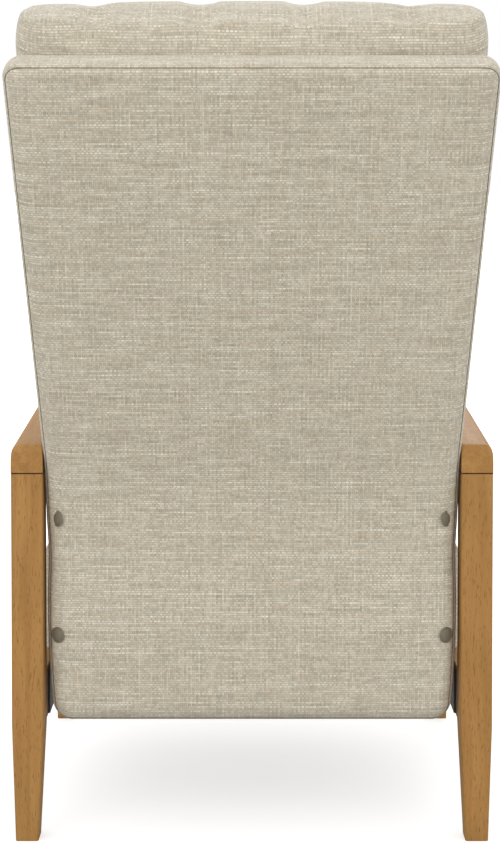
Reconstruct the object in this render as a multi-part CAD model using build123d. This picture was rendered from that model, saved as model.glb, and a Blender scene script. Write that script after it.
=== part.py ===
from build123d import *
import math
import os

# A tall power recliner: an open wooden arm frame on four tapered legs, a fabric covered back and seat,
# and a steel linkage that one motor drives. It faces +Y and is seen from behind along +Y.
# All pieces are first placed with y = 0 on the rear face of the rear legs. At the end they are moved so
# that the origin is at the centre of the base of the whole chair.

# Wooden arm frame
chair_width = 650.0
frame_depth = 620.0
leg_width = 43.0
leg_depth = 50.0
foot_outer_taper = 4.0
foot_inner_taper = 8.0
foot_depth_taper = 12.0
wood_edge_radius = 4.0
arm_top_rear = 533.0
arm_thickness = 30.0
arm_rise = 30.0
arm_overhang = 18.0
arm_end_radius = 13.0
joint_chamfer = 0.8
rail_low = 158.0
rail_height = 70.0
rail_thickness = 22.0
cross_rail_height = 45.0
cross_rail_thickness = 22.0
rear_cross_rail_y = 262.0
front_cross_rail_gap = 68.0

# Clearances
pin_clearance = 0.05
slide_clearance = 0.3
link_gap = 1.5
plate_gap = 2.0
cushion_gap = 0.3
cut_overrun = 5.0

# Folding linkage of the footrest
drive_pivot_setback = 120.0
drive_pivot_rise = 12.0
link_half_length = 96.0
link_width = 18.0
link_thickness = 3.0
pin_radius = 5.0
pin_head_radius = 8.0
pin_head_thickness = 1.2
torque_tube_radius = 8.0
cross_shaft_radius = 5.0
extension_angle = 25.0
closed_angle = 84.0
open_angle = 6.0

# Fixed side plates and their seat shelves
side_plate_thickness = 3.0
side_plate_rise = 2.0
side_plate_strip_height = 62.0
side_plate_leg_gap = 10.0
shelf_pivot_gap = 55.0
shelf_setback = 110.0
plate_bolt_count = 4
plate_bolt_start_share = 0.25
plate_bolt_radius = 4.0
plate_bolt_head_radius = 7.0
plate_bolt_head_thickness = 1.5
plate_bolt_length = 16.0
plate_margin = 9.0

# Drive
crank_radius = 70.0
crank_plate_x = 12.0
crank_plate_thickness = 5.0
crank_end_radius = 11.0
yoke_arm_x = 20.0
yoke_arm_thickness = 6.0
yoke_slack = 1.3
travel_share = 0.94
beam_rise = 43.0
beam_height = 14.0
beam_depth = 20.0
beam_gearbox_gap = 24.0
push_rod_gap = 3.5
push_rod_thickness = 4.0
screw_radius = 5.0
screw_lead = 30.0
track_rail_overlap = 20.0
track_front_overhang = 28.0
track_width = 36.0
track_beam_gap = 6.0
track_height = 27.0
track_wall = 3.0
track_slot_width = 14.0
nut_width = 22.0
nut_length = 40.0
nut_neck_width = 12.0
gearbox_length = 50.0
gearbox_width = 56.0
gearbox_height = 54.0
gearbox_edge_radius = 5.0
motor_radius = 25.0
motor_length = 92.0
motor_cap_radius = 21.0
motor_cap_length = 8.0
bracket_width = 30.0
front_bracket_depth = 16.0
inlet_size = 14.0
inlet_depth = 10.0
inlet_bore_radius = 3.2

# Back
back_pivot_reach = 111.0
back_arm_length = 124.0
back_recline = 40.0
back_slot_slack = 1.1
back_lean = 20.0
back_rear_y = 10.0
back_low = 160.0
back_upright_height = 304.0
back_rise = 577.0
back_thickness = 54.0
back_side_gap = 2.0
back_foot_taper = 8.0
back_foot_taper_height = 123.0
back_top_flare = 35.0
back_corner_share = 0.92
back_end_radius = 22.0
back_end_sections = 3
upholstery_thickness = 12.0
post_width = 42.0
back_rail_height = 55.0
upper_bolt_drop = 24.0
bolt_spacing = 158.5
back_bolt_inset = 18.0
back_bolt_radius = 4.0
back_bolt_recess = 4.0
back_cap_radius = 11.0
back_cap_thickness = 2.5
back_cap_round_share = 0.6
back_cap_turn = 36.0
bracket_flange_width = 37.0
bracket_thickness = 3.0
bracket_top_margin = 24.0
bracket_low_margin = 22.0
bracket_eye_radius = 16.0

# Seat
seat_frame_height = 192.0
seat_rail_height = 40.0
seat_rail_thickness = 22.0
seat_side_gap = 5.5
seat_back_gap = 68.0
seat_front_distance = 45.0
webbing_width = 50.0
webbing_thickness = 2.0
webbing_count = 6
seat_cushion_back_gap = 48.0
seat_cushion_overhang = 20.0
seat_cushion_thickness = 82.0
seat_cushion_crown = 14.0
seat_cushion_side_gap = 8.0

# All cushions
cushion_stations = 12
cushion_end_share = 0.4
cushion_bulge_share = 0.3
cushion_under_share = 0.4

# Back cushion
back_cushion_length = 640.0
back_cushion_thickness = 152.0
back_cushion_turn_height = 220.0
back_cushion_crown = 20.0
back_cushion_inset = 5.0
back_cushion_inset_top = 7.0
back_cushion_foot_gap = 8.0
tuft_spacing = 126.0
tuft_columns = 4
tuft_rows = 3
tuft_first_height = 150.0
tuft_row_spacing = 170.0
tuft_ball_radius = 75.0
tuft_depth = 17.0
tuft_crown_share = 0.75
tuft_button_radius = 11.0
tuft_button_thickness = 5.0
pucker_radius = 55.0
pucker_depth = 5.0

# Footrest
footrest_gap = 15.6
footrest_board_thickness = 18.0
footrest_board_drop = 25.0
footrest_board_height = 160.0
footrest_side_gap = 1.5
footrest_pad_thickness = 60.0
footrest_pad_drop = 9.0
footrest_pad_height = 200.0
footrest_pad_crown = 8.0
footrest_flange_width = 30.0

# Side panels and hand control
side_panel_thickness = 10.0
side_panel_rear_y = 140.0
side_panel_leg_gap = 4.0
side_panel_seat_lap = 26.0
side_panel_edge_radius = 3.0
pod_length = 92.0
pod_width = 32.0
pod_height = 26.0
pod_leg_gap = 23.0
pod_edge_radius = 4.0
button_radius = 8.0
button_length = 10.0
button_travel = 2.5
button_proud = 4.0
button_spacing = 34.0
button_clearance = 0.4
button_well_gap = 4.5
button_round_share = 0.25

# Places that follow from the sizes above
half_width = chair_width / 2
inner_x = half_width - leg_width
plate_x = inner_x - side_plate_thickness
outer_link_x = plate_x - plate_gap - link_thickness
inner_link_x = outer_link_x - link_gap - link_thickness
seat_half_width = inner_link_x - seat_side_gap
seat_cushion_half_width = inner_x - seat_cushion_side_gap
footrest_half_width = inner_link_x - footrest_side_gap
beam_half_length = inner_link_x - push_rod_gap - push_rod_thickness
back_half_width = plate_x - back_side_gap
back_half_width_low = back_half_width - back_foot_taper
back_half_width_top = back_half_width + back_top_flare
back_cushion_half_width_low = back_half_width - back_cushion_inset
back_cushion_half_width_top = back_half_width_top - back_cushion_inset_top
back_bolt_x = back_half_width - back_bolt_inset
side_plate_low = rail_low + side_plate_rise
side_plate_rear_y = leg_depth + side_plate_leg_gap
side_plate_front_y = frame_depth - leg_depth - side_plate_leg_gap
side_panel_front_y = frame_depth - leg_depth - side_panel_leg_gap
cross_rail_low = side_plate_low
drive_pivot_y = frame_depth - drive_pivot_setback
drive_pivot_z = side_plate_low + drive_pivot_rise
front_cross_rail_y = drive_pivot_y - front_cross_rail_gap - cross_rail_thickness
track_rear_y = rear_cross_rail_y + track_rail_overlap
track_front_y = front_cross_rail_y + track_front_overhang
beam_y = track_rear_y + beam_gearbox_gap
beam_z = drive_pivot_z + beam_rise
track_low = beam_z + beam_height / 2 + track_beam_gap
back_front_y = back_rear_y + back_thickness
back_corner_radius = back_thickness / 2 * back_corner_share
back_pivot_y = back_front_y + back_pivot_reach
shelf_rear_y = back_pivot_y + shelf_pivot_gap
shelf_front_y = drive_pivot_y - shelf_setback
seat_frame_low = side_plate_low + seat_frame_height
seat_rear_y = back_front_y + seat_back_gap
seat_front_y = frame_depth - seat_front_distance
seat_cushion_rear_y = back_front_y + seat_cushion_back_gap
seat_cushion_front_y = frame_depth + seat_cushion_overhang
side_panel_top_z = seat_frame_low + side_panel_seat_lap
back_bend_z = back_low + back_upright_height
back_top_z = back_bend_z + back_rise
upper_bolt_z = back_bend_z - upper_bolt_drop
lower_bolt_z = upper_bolt_z - bolt_spacing
bracket_top_z = upper_bolt_z + bracket_top_margin
bracket_low_z = lower_bolt_z - bracket_low_margin
footrest_board_low = drive_pivot_z - footrest_board_drop
footrest_pad_low = footrest_board_low - footrest_pad_drop
pod_rear_y = frame_depth - leg_depth - pod_leg_gap - pod_length
button_well_depth = button_length - button_proud + button_travel + button_well_gap
fold_angle = closed_angle - open_angle
travel = travel_share * crank_radius * math.radians(fold_angle)
back_pivot_z = beam_z + back_arm_length
rod_pin_y = back_pivot_y - travel / 2
yoke_y = drive_pivot_y - travel / 2
arm_bottom_rear = arm_top_rear - arm_thickness
arm_slope = arm_rise / frame_depth
seat_deck_z = seat_frame_low + seat_rail_height


def slab(x_low, x_high, y_low, y_high, z_low, z_high):
    """A plain block between two corners."""
    size = (x_high - x_low, y_high - y_low, z_high - z_low)
    centre = ((x_low + x_high) / 2, (y_low + y_high) / 2, (z_low + z_high) / 2)
    return Pos(*centre) * Box(*size)


def side_solid(face, x_low, thickness):
    """A face drawn in (y, z) and made solid from x_low towards +X."""
    return extrude(Plane.YZ.offset(x_low) * face, thickness)


def front_solid(face, y_low, depth):
    """A face drawn in (x, z) and made solid from y_low towards +Y."""
    return extrude(Plane.XZ.offset(-y_low) * face, -depth)


def polygon(points):
    return make_face(Polyline(*points, close=True))


def link_face(start, end, width, holes=()):
    """A flat link with round ends about two pivots, with a hole for each (place, radius)."""
    run, rise = end[0] - start[0], end[1] - start[1]
    centre = ((start[0] + end[0]) / 2, (start[1] + end[1]) / 2)
    turned = Rot(0, 0, math.degrees(math.atan2(rise, run)))
    face = Pos(*centre) * turned * SlotCenterToCenter(math.hypot(run, rise), width)
    for place, radius in holes:
        face -= Pos(*place) * Circle(radius)
    return face


def rod(place, x_low, x_high, radius):
    """A round bar along X through (y, z)."""
    return side_solid(Pos(*place) * Circle(radius), x_low, x_high - x_low)


def headed_pin(place, x_low, x_high):
    """A pivot pin with a flat head on its inner end."""
    head = rod(place, x_low - pin_head_thickness, x_low, pin_head_radius)
    return rod(place, x_low - pin_head_thickness, x_high, pin_radius) + head


def mirrored(solid):
    return mirror(solid, about=Plane.YZ)


def fold_point(along, across):
    """A point of the folding linkage, along its line of extension and square to it."""
    turn = math.radians(extension_angle)
    y = drive_pivot_y + along * math.cos(turn) - across * math.sin(turn)
    z = drive_pivot_z + along * math.sin(turn) + across * math.cos(turn)
    return (y, z)


def link_points():
    """The pivots of the folding linkage at rest, where it is folded."""
    reach = link_half_length * math.cos(math.radians(closed_angle))
    lift = link_half_length * math.sin(math.radians(closed_angle))
    return {
        "pivot": fold_point(0, 0),
        "crossing": fold_point(reach, lift),
        "drive_end": fold_point(2 * reach, 2 * lift),
        "slot_pin": fold_point(0, 2 * lift),
        "cross_end": fold_point(2 * reach, 0),
        "second_crossing": fold_point(3 * reach, lift),
        "footrest_end": fold_point(4 * reach, 0),
    }


def arm_bottom(y):
    return arm_bottom_rear + arm_slope * y


def leg(y_low):
    """One leg of the left frame: straight to the side rail's underside, then tapered to the foot."""
    centre_y = y_low + leg_depth / 2
    centre_x = (inner_x + half_width) / 2
    foot_x = centre_x + (foot_inner_taper - foot_outer_taper) / 2
    foot_width = leg_width - foot_inner_taper - foot_outer_taper
    section = Pos(centre_x, centre_y, rail_low) * RectangleRounded(leg_width, leg_depth, wood_edge_radius)
    sole = Pos(foot_x, centre_y) * RectangleRounded(foot_width, leg_depth - foot_depth_taper, wood_edge_radius)
    upright = extrude(section, arm_bottom(y_low + leg_depth) - rail_low)
    above_arm_line = side_solid(polygon([
        (y_low - cut_overrun, arm_bottom(y_low - cut_overrun)),
        (y_low + leg_depth + cut_overrun, arm_bottom(y_low + leg_depth + cut_overrun)),
        (y_low + leg_depth + cut_overrun, arm_top_rear + arm_rise),
        (y_low - cut_overrun, arm_top_rear + arm_rise),
    ]), inner_x - cut_overrun, leg_width + 2 * cut_overrun)
    solid = loft([sole, section]) + (upright - above_arm_line)
    return chamfer(solid.faces().sort_by(Axis.Z)[-1].edges(), joint_chamfer)


def arm():
    """The left arm: a rising plank that lies on both legs, with its ends and long edges rounded."""
    front_y = frame_depth + arm_overhang
    outline = polygon([
        (0, arm_bottom(0)),
        (front_y, arm_bottom(front_y)),
        (front_y, arm_bottom(front_y) + arm_thickness),
        (0, arm_top_rear),
    ])
    solid = side_solid(outline, inner_x, leg_width)
    ends = solid.edges().filter_by(Axis.X).sort_by(Axis.Z)
    top_ends = [edge for edge in ends if edge.center().Z > arm_bottom(edge.center().Y) + arm_thickness / 2]
    solid = fillet(top_ends, arm_end_radius)
    long_top = [
        edge for edge in solid.edges()
        if edge.length > frame_depth / 2 and edge.center().Z > arm_bottom(edge.center().Y) + arm_thickness / 2
    ]
    return fillet(long_top, wood_edge_radius)


def side_rail():
    y_high = frame_depth - leg_depth
    solid = slab(inner_x, inner_x + rail_thickness, leg_depth, y_high, rail_low, rail_low + rail_height)
    return fillet(solid.edges().filter_by(Axis.Y).sort_by(Axis.X)[-2:], wood_edge_radius)


def cross_rail(y_low):
    z_high = cross_rail_low + cross_rail_height
    return slab(-plate_x, plate_x, y_low, y_low + cross_rail_thickness, cross_rail_low, z_high)


def side_plate():
    """The fixed steel plate inside the left rail, with its seat shelf, pivot holes and guide slot."""
    points = link_points()
    strip_high = side_plate_low + side_plate_strip_height
    strip = polygon([
        (side_plate_rear_y, side_plate_low),
        (side_plate_front_y, side_plate_low),
        (side_plate_front_y, strip_high),
        (side_plate_rear_y, strip_high),
    ])
    slot_low = fold_point(0, 2 * link_half_length * math.sin(math.radians(open_angle)))
    slot_high = points["slot_pin"]
    web_high = slot_high[1] + pin_radius + plate_margin
    web = polygon([
        (shelf_rear_y, strip_high - plate_margin),
        (shelf_rear_y, seat_frame_low),
        (shelf_front_y, seat_frame_low),
        (slot_high[0] - pin_radius - plate_margin, web_high),
        (slot_high[0] + pin_radius + plate_margin, web_high),
        (drive_pivot_y + pin_radius + plate_margin, strip_high - plate_margin),
    ])
    upright = link_face((back_pivot_y, strip_high), (back_pivot_y, back_pivot_z), 2 * bracket_eye_radius)
    face = strip + web + upright
    slot_radius = pin_radius + slide_clearance
    face -= link_face(slot_low, slot_high, 2 * slot_radius)
    for place in (points["pivot"], (back_pivot_y, back_pivot_z)):
        face -= Pos(*place) * Circle(pin_radius + pin_clearance)
    for place in plate_bolt_places():
        face -= Pos(*place) * Circle(plate_bolt_radius + pin_clearance)
    plate = side_solid(face, plate_x, side_plate_thickness)
    shelf = slab(seat_half_width - seat_rail_thickness, plate_x + side_plate_thickness, shelf_rear_y,
                 shelf_front_y, seat_frame_low - side_plate_thickness, seat_frame_low)
    return plate + shelf


def plate_bolt_places():
    """The bolts that hold a side plate to its rail, in (y, z)."""
    z = side_plate_low + side_plate_strip_height / 2
    step = (side_plate_front_y - side_plate_rear_y) / plate_bolt_count
    first = side_plate_rear_y + step * plate_bolt_start_share
    return [(first + index * step, z) for index in range(plate_bolt_count)]


def plate_bolt(place):
    shank = rod(place, plate_x - plate_bolt_head_thickness, plate_x + plate_bolt_length, plate_bolt_radius)
    head = rod(place, plate_x - plate_bolt_head_thickness, plate_x, plate_bolt_head_radius)
    return shank + head


def drilled_side_rail():
    solid = side_rail()
    for place in plate_bolt_places():
        depth = plate_x + plate_bolt_length + pin_clearance
        solid -= rod(place, inner_x - cut_overrun, depth, plate_bolt_radius + pin_clearance)
    return solid


def side_panel():
    """The fabric covered panel that hides the mechanism between the rail and the seat."""
    solid = slab(inner_x, inner_x + side_panel_thickness, side_panel_rear_y, side_panel_front_y,
                 rail_low + rail_height, side_panel_top_z)
    outer = solid.edges().group_by(Axis.X)[-1]
    upper = [edge for edge in outer if edge.center().Z > rail_low + rail_height + side_panel_edge_radius]
    return fillet(upper, side_panel_edge_radius)


def seat_rails():
    """The four rails of the seat box."""
    z_low, z_high = seat_frame_low, seat_deck_z
    inside = seat_half_width - seat_rail_thickness
    front_low = seat_front_y - seat_rail_thickness
    rear_high = seat_rear_y + seat_rail_thickness
    side = slab(inside, seat_half_width, rear_high, front_low, z_low, z_high)
    return {
        "seat_front_rail": slab(-seat_half_width, seat_half_width, front_low, seat_front_y, z_low, z_high),
        "seat_rear_rail": slab(-seat_half_width, seat_half_width, seat_rear_y, rear_high, z_low, z_high),
        "seat_left_rail": mirrored(side),
        "seat_right_rail": side,
    }


def seat_webbing():
    """Elastic straps across the seat box."""
    first = seat_rear_y + seat_rail_thickness + webbing_width
    last = seat_front_y - seat_rail_thickness - webbing_width
    straps = []
    for index in range(webbing_count):
        y = first + (last - first) * index / (webbing_count - 1)
        straps.append(slab(-seat_half_width + webbing_thickness, seat_half_width - webbing_thickness,
                           y - webbing_width / 2, y + webbing_width / 2,
                           seat_deck_z, seat_deck_z + webbing_thickness))
    return straps


def cushion_section(half_span, low, high, bulge, crown):
    """One closed outline of a cushion: flat under, drawn in at the sides and crowned on top."""
    corner = half_span - bulge
    middle = (low + high) / 2
    under = Line((-corner, low), (corner, low))
    right = ThreePointArc((corner, low), (half_span, middle), (corner, high))
    top = ThreePointArc((corner, high), (0, high + crown), (-corner, high))
    left = ThreePointArc((-corner, high), (-half_span, middle), (-corner, low))
    return make_face([under, right, top, left])


def cushion(plane_at, length, thickness, crown, half_span_at, end_radius, under_share):
    """A cushion lofted along its length, with round ends and the most crown in its middle."""
    sections = []
    for index in range(cushion_stations + 1):
        place = (1 - math.cos(math.pi * index / cushion_stations)) / 2
        inward = min(1, length * min(place, 1 - place) / end_radius)
        fullness = max(cushion_end_share, math.sqrt(1 - (1 - inward) ** 2))
        low = thickness / 2 * (1 - fullness) * under_share
        high = thickness / 2 * (1 + fullness)
        half_span = half_span_at(place) - end_radius * (1 - fullness) / 2
        lift = crown * fullness * (1 + math.sin(math.pi * place)) / 2
        face = cushion_section(half_span, low, high, (high - low) * cushion_bulge_share, lift)
        sections.append(plane_at(length * place) * face)
    return loft(sections, ruled=True)


def seat_cushion():
    """Sections square to Y, from behind the back cushion's foot to the round nose."""
    depth = seat_cushion_front_y - seat_cushion_rear_y
    low = seat_deck_z + webbing_thickness + cushion_gap

    def plane_at(distance):
        return Plane(origin=(0, seat_cushion_rear_y + distance, low), x_dir=(1, 0, 0), z_dir=(0, -1, 0))

    return cushion(plane_at, depth, seat_cushion_thickness, seat_cushion_crown,
                   lambda place: seat_cushion_half_width, seat_cushion_thickness / 2, 1)


def back_front_foot():
    """The point of the back's front face from which it leans, in (y, z)."""
    half_lean = math.radians(back_lean / 2)
    return (back_front_y, back_bend_z + back_thickness * math.tan(half_lean))


def back_cushion_plane(height, out=0.0):
    """The plane across the cushion at a height along the back, x across and y towards the sitter.

    It is level at the foot, which lies over the seat, and turns square to the back above it."""
    lean = math.radians(back_lean)
    foot_y, foot_z = back_front_foot()
    start = (seat_deck_z + seat_cushion_thickness + seat_cushion_crown + back_cushion_foot_gap
             - foot_z) / math.cos(lean)
    along = start + height
    out += cushion_gap
    tilt = lean * min(1, height / back_cushion_turn_height)
    y = foot_y - along * math.sin(lean) + out * math.cos(tilt)
    z = foot_z + along * math.cos(lean) + out * math.sin(tilt)
    return Plane(origin=(0, y, z), x_dir=(1, 0, 0), z_dir=(0, -math.sin(tilt), math.cos(tilt)))


def tuft_places():
    """The tufts as (x, height along the back)."""
    first_x = -tuft_spacing * (tuft_columns - 1) / 2
    return [
        (first_x + tuft_spacing * column, tuft_first_height + tuft_row_spacing * row)
        for row in range(tuft_rows)
        for column in range(tuft_columns)
    ]


def tuft_bottom():
    """How far a tuft's floor stands out from the back's front face."""
    return back_cushion_thickness + back_cushion_crown * tuft_crown_share - tuft_depth


def back_cushion():
    """Sections square to the back's slope, with pulled tufts and puckers along the top edge."""
    grow = back_cushion_half_width_top - back_cushion_half_width_low
    solid = cushion(back_cushion_plane, back_cushion_length, back_cushion_thickness, back_cushion_crown,
                    lambda place: back_cushion_half_width_low + grow * place,
                    back_cushion_thickness / 2, cushion_under_share)
    for x, height in tuft_places():
        plane = back_cushion_plane(height, tuft_bottom() + tuft_ball_radius)
        solid -= Pos(*(plane.origin + Vector(x, 0, 0))) * Sphere(tuft_ball_radius)
        seat = back_cushion_plane(height, tuft_bottom() - slide_clearance)
        floor = Plane(origin=seat.origin + Vector(x, 0, 0), z_dir=seat.y_dir)
        solid -= extrude(floor * Circle(tuft_button_radius + 2 * slide_clearance), tuft_depth)
    for x in sorted({place[0] for place in tuft_places()}):
        plane = back_cushion_plane(back_cushion_length + pucker_radius - pucker_depth)
        axis = Plane(origin=plane.origin + Vector(x, 0, 0), z_dir=plane.y_dir)
        solid -= extrude(axis * Circle(pucker_radius), 2 * back_cushion_thickness, both=True)
    return solid


def tuft_buttons():
    buttons = []
    for x, height in tuft_places():
        plane = back_cushion_plane(height, tuft_bottom())
        base = Plane(origin=plane.origin + Vector(x, 0, 0), z_dir=plane.y_dir)
        button = extrude(base * Circle(tuft_button_radius), tuft_button_thickness)
        buttons.append(fillet(button.edges().sort_by(Axis(base.origin, base.z_dir))[-1:],
                              tuft_button_thickness / 2))
    return buttons


def back_section(rear, tilt, mitre, half_span, inset):
    """A rounded rectangle across the back, from a point (y, z) of its rear face, tilted in degrees.

    At the bend it is cut along the mitre between the upright and the leaning part, and so it is deeper."""
    slope = math.radians(tilt)
    stretch = 1 / math.cos(math.radians(mitre))
    depth = (back_thickness - 2 * inset) * stretch
    reach = back_thickness / 2 * stretch
    origin = (0, rear[0] + reach * math.cos(slope), rear[1] + reach * math.sin(slope))
    plane = Plane(origin=origin, x_dir=(1, 0, 0), z_dir=(0, -math.sin(slope), math.cos(slope)))
    corner = (back_thickness / 2 - inset) * back_corner_share
    return plane * RectangleRounded(2 * (half_span - inset), depth, corner)


def back_rear_point(height):
    """The rear face's point (y, z), its tilt in degrees and its half width at a height above the back's foot."""
    z = back_low + height
    lean = math.radians(back_lean)
    upright = back_bend_z - back_low
    if height <= upright:
        tapered = min(1, height / back_foot_taper_height)
        return (back_rear_y, z), 0, back_half_width_low + back_foot_taper * tapered
    rise = z - back_bend_z
    half_width_here = back_half_width + back_top_flare * rise / back_rise
    return (back_rear_y - rise * math.tan(lean), z), back_lean, half_width_here


def back_solid(inset):
    """The back as a block with round ends, upright behind the seat, then leaning and wider to the top."""
    height = back_top_z - back_low
    rise = math.cos(math.radians(back_lean))
    sections = []
    for index in range(back_end_sections + 1):
        turn = math.pi / 2 * index / back_end_sections
        reach = (back_end_radius - inset) * (1 - math.sin(turn)) + inset
        sections.append((reach, (back_end_radius - inset) * (1 - math.cos(turn))))
    low = [(reach, end) for reach, end in reversed(sections)]
    high = [(height - reach * rise, end) for reach, end in sections]
    faces = []
    for place, end in low + [(back_foot_taper_height, 0), (back_bend_z - back_low, 0)] + high:
        rear, tilt, half_span = back_rear_point(place)
        mitre = back_lean / 2 if place == back_bend_z - back_low else 0
        faces.append(back_section(rear, tilt + mitre, mitre, half_span, inset + end))
    return loft(faces, ruled=True)


def bolt_places():
    return [(side * back_bolt_x, z) for side in (-1, 1) for z in (lower_bolt_z, upper_bolt_z)]


def along_y(x, z, y_low, y_high, radius):
    """A round bar along Y through (x, z)."""
    return front_solid(Pos(x, z) * Circle(radius), y_low, y_high - y_low)


def back_bolt_bores(radius):
    y_high = back_front_y + bracket_thickness
    return [along_y(x, z, back_rear_y - cut_overrun, y_high + cut_overrun, radius) for x, z in bolt_places()]


def back_shell():
    """The upholstered shell of the back, hollow for the wooden frame."""
    shell = back_solid(0) - back_solid(upholstery_thickness)
    for bore in back_bolt_bores(back_bolt_radius + pin_clearance):
        shell -= bore
    return shell


def back_frame():
    """Two posts and two rails inside the back shell."""
    core = back_solid(upholstery_thickness + slide_clearance)
    inner_post_x = back_half_width_low - upholstery_thickness - post_width
    low_z = back_low + upholstery_thickness + back_rail_height
    high_z = back_top_z - upholstery_thickness - back_rail_height
    y_low, y_high = -frame_depth, frame_depth
    top = 2 * back_top_z
    right_post = core & slab(inner_post_x, chair_width, y_low, y_high, 0, top)
    between = core & slab(-inner_post_x, inner_post_x, y_low, y_high, 0, top)
    for bore in back_bolt_bores(back_bolt_radius + pin_clearance):
        right_post -= bore
    return {
        "right_back_post": right_post,
        "left_back_post": mirrored(right_post),
        "back_bottom_rail": between & slab(-chair_width, chair_width, y_low, y_high, 0, low_z),
        "back_top_rail": between & slab(-chair_width, chair_width, y_low, y_high, high_z, top),
    }


def back_bolts():
    y_low = back_rear_y + back_bolt_recess
    y_high = back_front_y + bracket_thickness
    return [along_y(x, z, y_low, y_high, back_bolt_radius) for x, z in bolt_places()]


def back_caps():
    """Domed caps over the bolt ends, turned to lie on the round side edges of the back."""
    turn = math.radians(back_cap_turn)
    surface = back_solid(0)
    caps = []
    for x, z in bolt_places():
        side = math.copysign(1, x)
        centre_x = side * (back_half_width - back_corner_radius * (1 - math.sin(turn)))
        centre_y = back_rear_y + back_corner_radius * (1 - math.cos(turn))
        out = Vector(side * math.sin(turn), -math.cos(turn), 0)
        base = Plane(origin=Vector(centre_x, centre_y, z) - out * back_bolt_recess, z_dir=out)
        cap = extrude(base * Circle(back_cap_radius), back_bolt_recess + back_cap_thickness)
        rim = cap.edges().sort_by(Axis(base.origin, base.z_dir))[-1:]
        caps.append(fillet(rim, back_cap_thickness * back_cap_round_share) - surface)
    return caps


def back_bracket():
    """The steel bracket that carries the back on its pivot, with the slotted arm that is pushed."""
    swing = math.radians(back_recline / 2)
    slot_near = back_arm_length - back_slot_slack
    slot_far = back_arm_length / math.cos(swing) + back_slot_slack

    def arm_point(distance):
        return (back_pivot_y - distance * math.sin(swing), back_pivot_z - distance * math.cos(swing))

    flange_side = back_front_y + bracket_thickness
    web = polygon([
        (back_front_y, bracket_low_z),
        (back_front_y, bracket_top_z),
        (flange_side + bracket_thickness, bracket_top_z),
        (back_pivot_y, back_pivot_z + bracket_eye_radius),
        (back_pivot_y, back_pivot_z - bracket_eye_radius),
    ])
    face = web + link_face((back_pivot_y, back_pivot_z), arm_point(slot_far), 2 * crank_end_radius)
    face += Pos(back_pivot_y, back_pivot_z) * Circle(bracket_eye_radius)
    slot_radius = pin_radius + back_slot_slack
    face -= link_face(arm_point(slot_near), arm_point(slot_far), 2 * slot_radius)
    face -= Pos(back_pivot_y, back_pivot_z) * Circle(pin_radius + pin_clearance)
    plate = side_solid(face, outer_link_x, link_thickness)
    flange = slab(outer_link_x + link_thickness - bracket_flange_width, outer_link_x + link_thickness,
                  back_front_y, flange_side, bracket_low_z, bracket_top_z)
    solid = plate + flange
    for bore in back_bolt_bores(back_bolt_radius + pin_clearance):
        solid -= bore
    return solid


def drive_bar():
    points = link_points()
    hole = pin_radius + pin_clearance
    face = link_face(points["pivot"], points["drive_end"], link_width, [
        (points["pivot"], hole), (points["crossing"], hole), (points["drive_end"], hole)])
    return side_solid(face, outer_link_x, link_thickness)


def cross_bar():
    points = link_points()
    hole = pin_radius + pin_clearance
    face = link_face(points["slot_pin"], points["cross_end"], link_width, [
        (points["slot_pin"], hole), (points["crossing"], hole), (points["cross_end"], hole)])
    return side_solid(face, inner_link_x, link_thickness)


def tie_link():
    points = link_points()
    hole = pin_radius + pin_clearance
    face = link_face(points["cross_end"], points["second_crossing"], link_width, [
        (points["cross_end"], hole), (points["second_crossing"], hole)])
    return side_solid(face, outer_link_x, link_thickness)


def footrest_back_y():
    return link_points()["footrest_end"][0] + footrest_gap


def footrest_bar():
    """The last link, widened into a bracket that is flanged behind the footrest board."""
    points = link_points()
    hole = pin_radius + pin_clearance
    end, middle = points["footrest_end"], points["second_crossing"]
    back_y = footrest_back_y()
    low_z = footrest_board_low + footrest_board_thickness
    high_z = footrest_board_low + footrest_board_height - footrest_board_thickness
    face = link_face(points["drive_end"], end, link_width)
    face += polygon([end, (back_y, low_z), (back_y, high_z), middle])
    for place in (points["drive_end"], middle):
        face -= Pos(*place) * Circle(hole)
    plate = side_solid(face, inner_link_x, link_thickness)
    flange = slab(inner_link_x + link_thickness - footrest_flange_width, inner_link_x + link_thickness,
                  back_y - link_thickness, back_y, low_z, high_z)
    return plate + flange


def footrest_board():
    back_y = footrest_back_y()
    return slab(-footrest_half_width, footrest_half_width, back_y, back_y + footrest_board_thickness,
                footrest_board_low, footrest_board_low + footrest_board_height)


def footrest_pad():
    """Sections square to Z over the board's front, rounded at the head and foot."""
    front_of_board = footrest_back_y() + footrest_board_thickness

    def plane_at(distance):
        return Plane(origin=(0, front_of_board, footrest_pad_low + distance), x_dir=(1, 0, 0), z_dir=(0, 0, 1))

    return cushion(plane_at, footrest_pad_height, footrest_pad_thickness - footrest_pad_crown,
                   footrest_pad_crown, lambda place: footrest_half_width, footrest_pad_thickness / 2, 0)


def drive_pins():
    """Pins on the drive bars: the outer journals and the pins at the crossing and the far end."""
    points = link_points()
    journal_end = plate_x + side_plate_thickness - slide_clearance
    journal = rod(points["pivot"], outer_link_x, journal_end, pin_radius)
    far_x = outer_link_x + link_thickness
    pins = [journal]
    for name in ("crossing", "drive_end"):
        pins.append(headed_pin(points[name], inner_link_x, far_x))
    return pins


def cross_pins():
    """Guide pins at the heads of the cross bars and pivot pins for the tie links."""
    points = link_points()
    guide_end = plate_x + side_plate_thickness - slide_clearance
    guide = headed_pin(points["slot_pin"], inner_link_x, guide_end)
    tie = rod(points["cross_end"], inner_link_x, outer_link_x + link_thickness, pin_radius)
    return [guide, tie]


def tie_pin():
    return headed_pin(link_points()["second_crossing"], inner_link_x, outer_link_x + link_thickness)


def back_pivot_pin():
    place = (back_pivot_y, back_pivot_z)
    return headed_pin(place, outer_link_x, plate_x + side_plate_thickness - slide_clearance)


def torque_tube():
    place = link_points()["pivot"]
    return rod(place, -outer_link_x, outer_link_x, torque_tube_radius)


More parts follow.
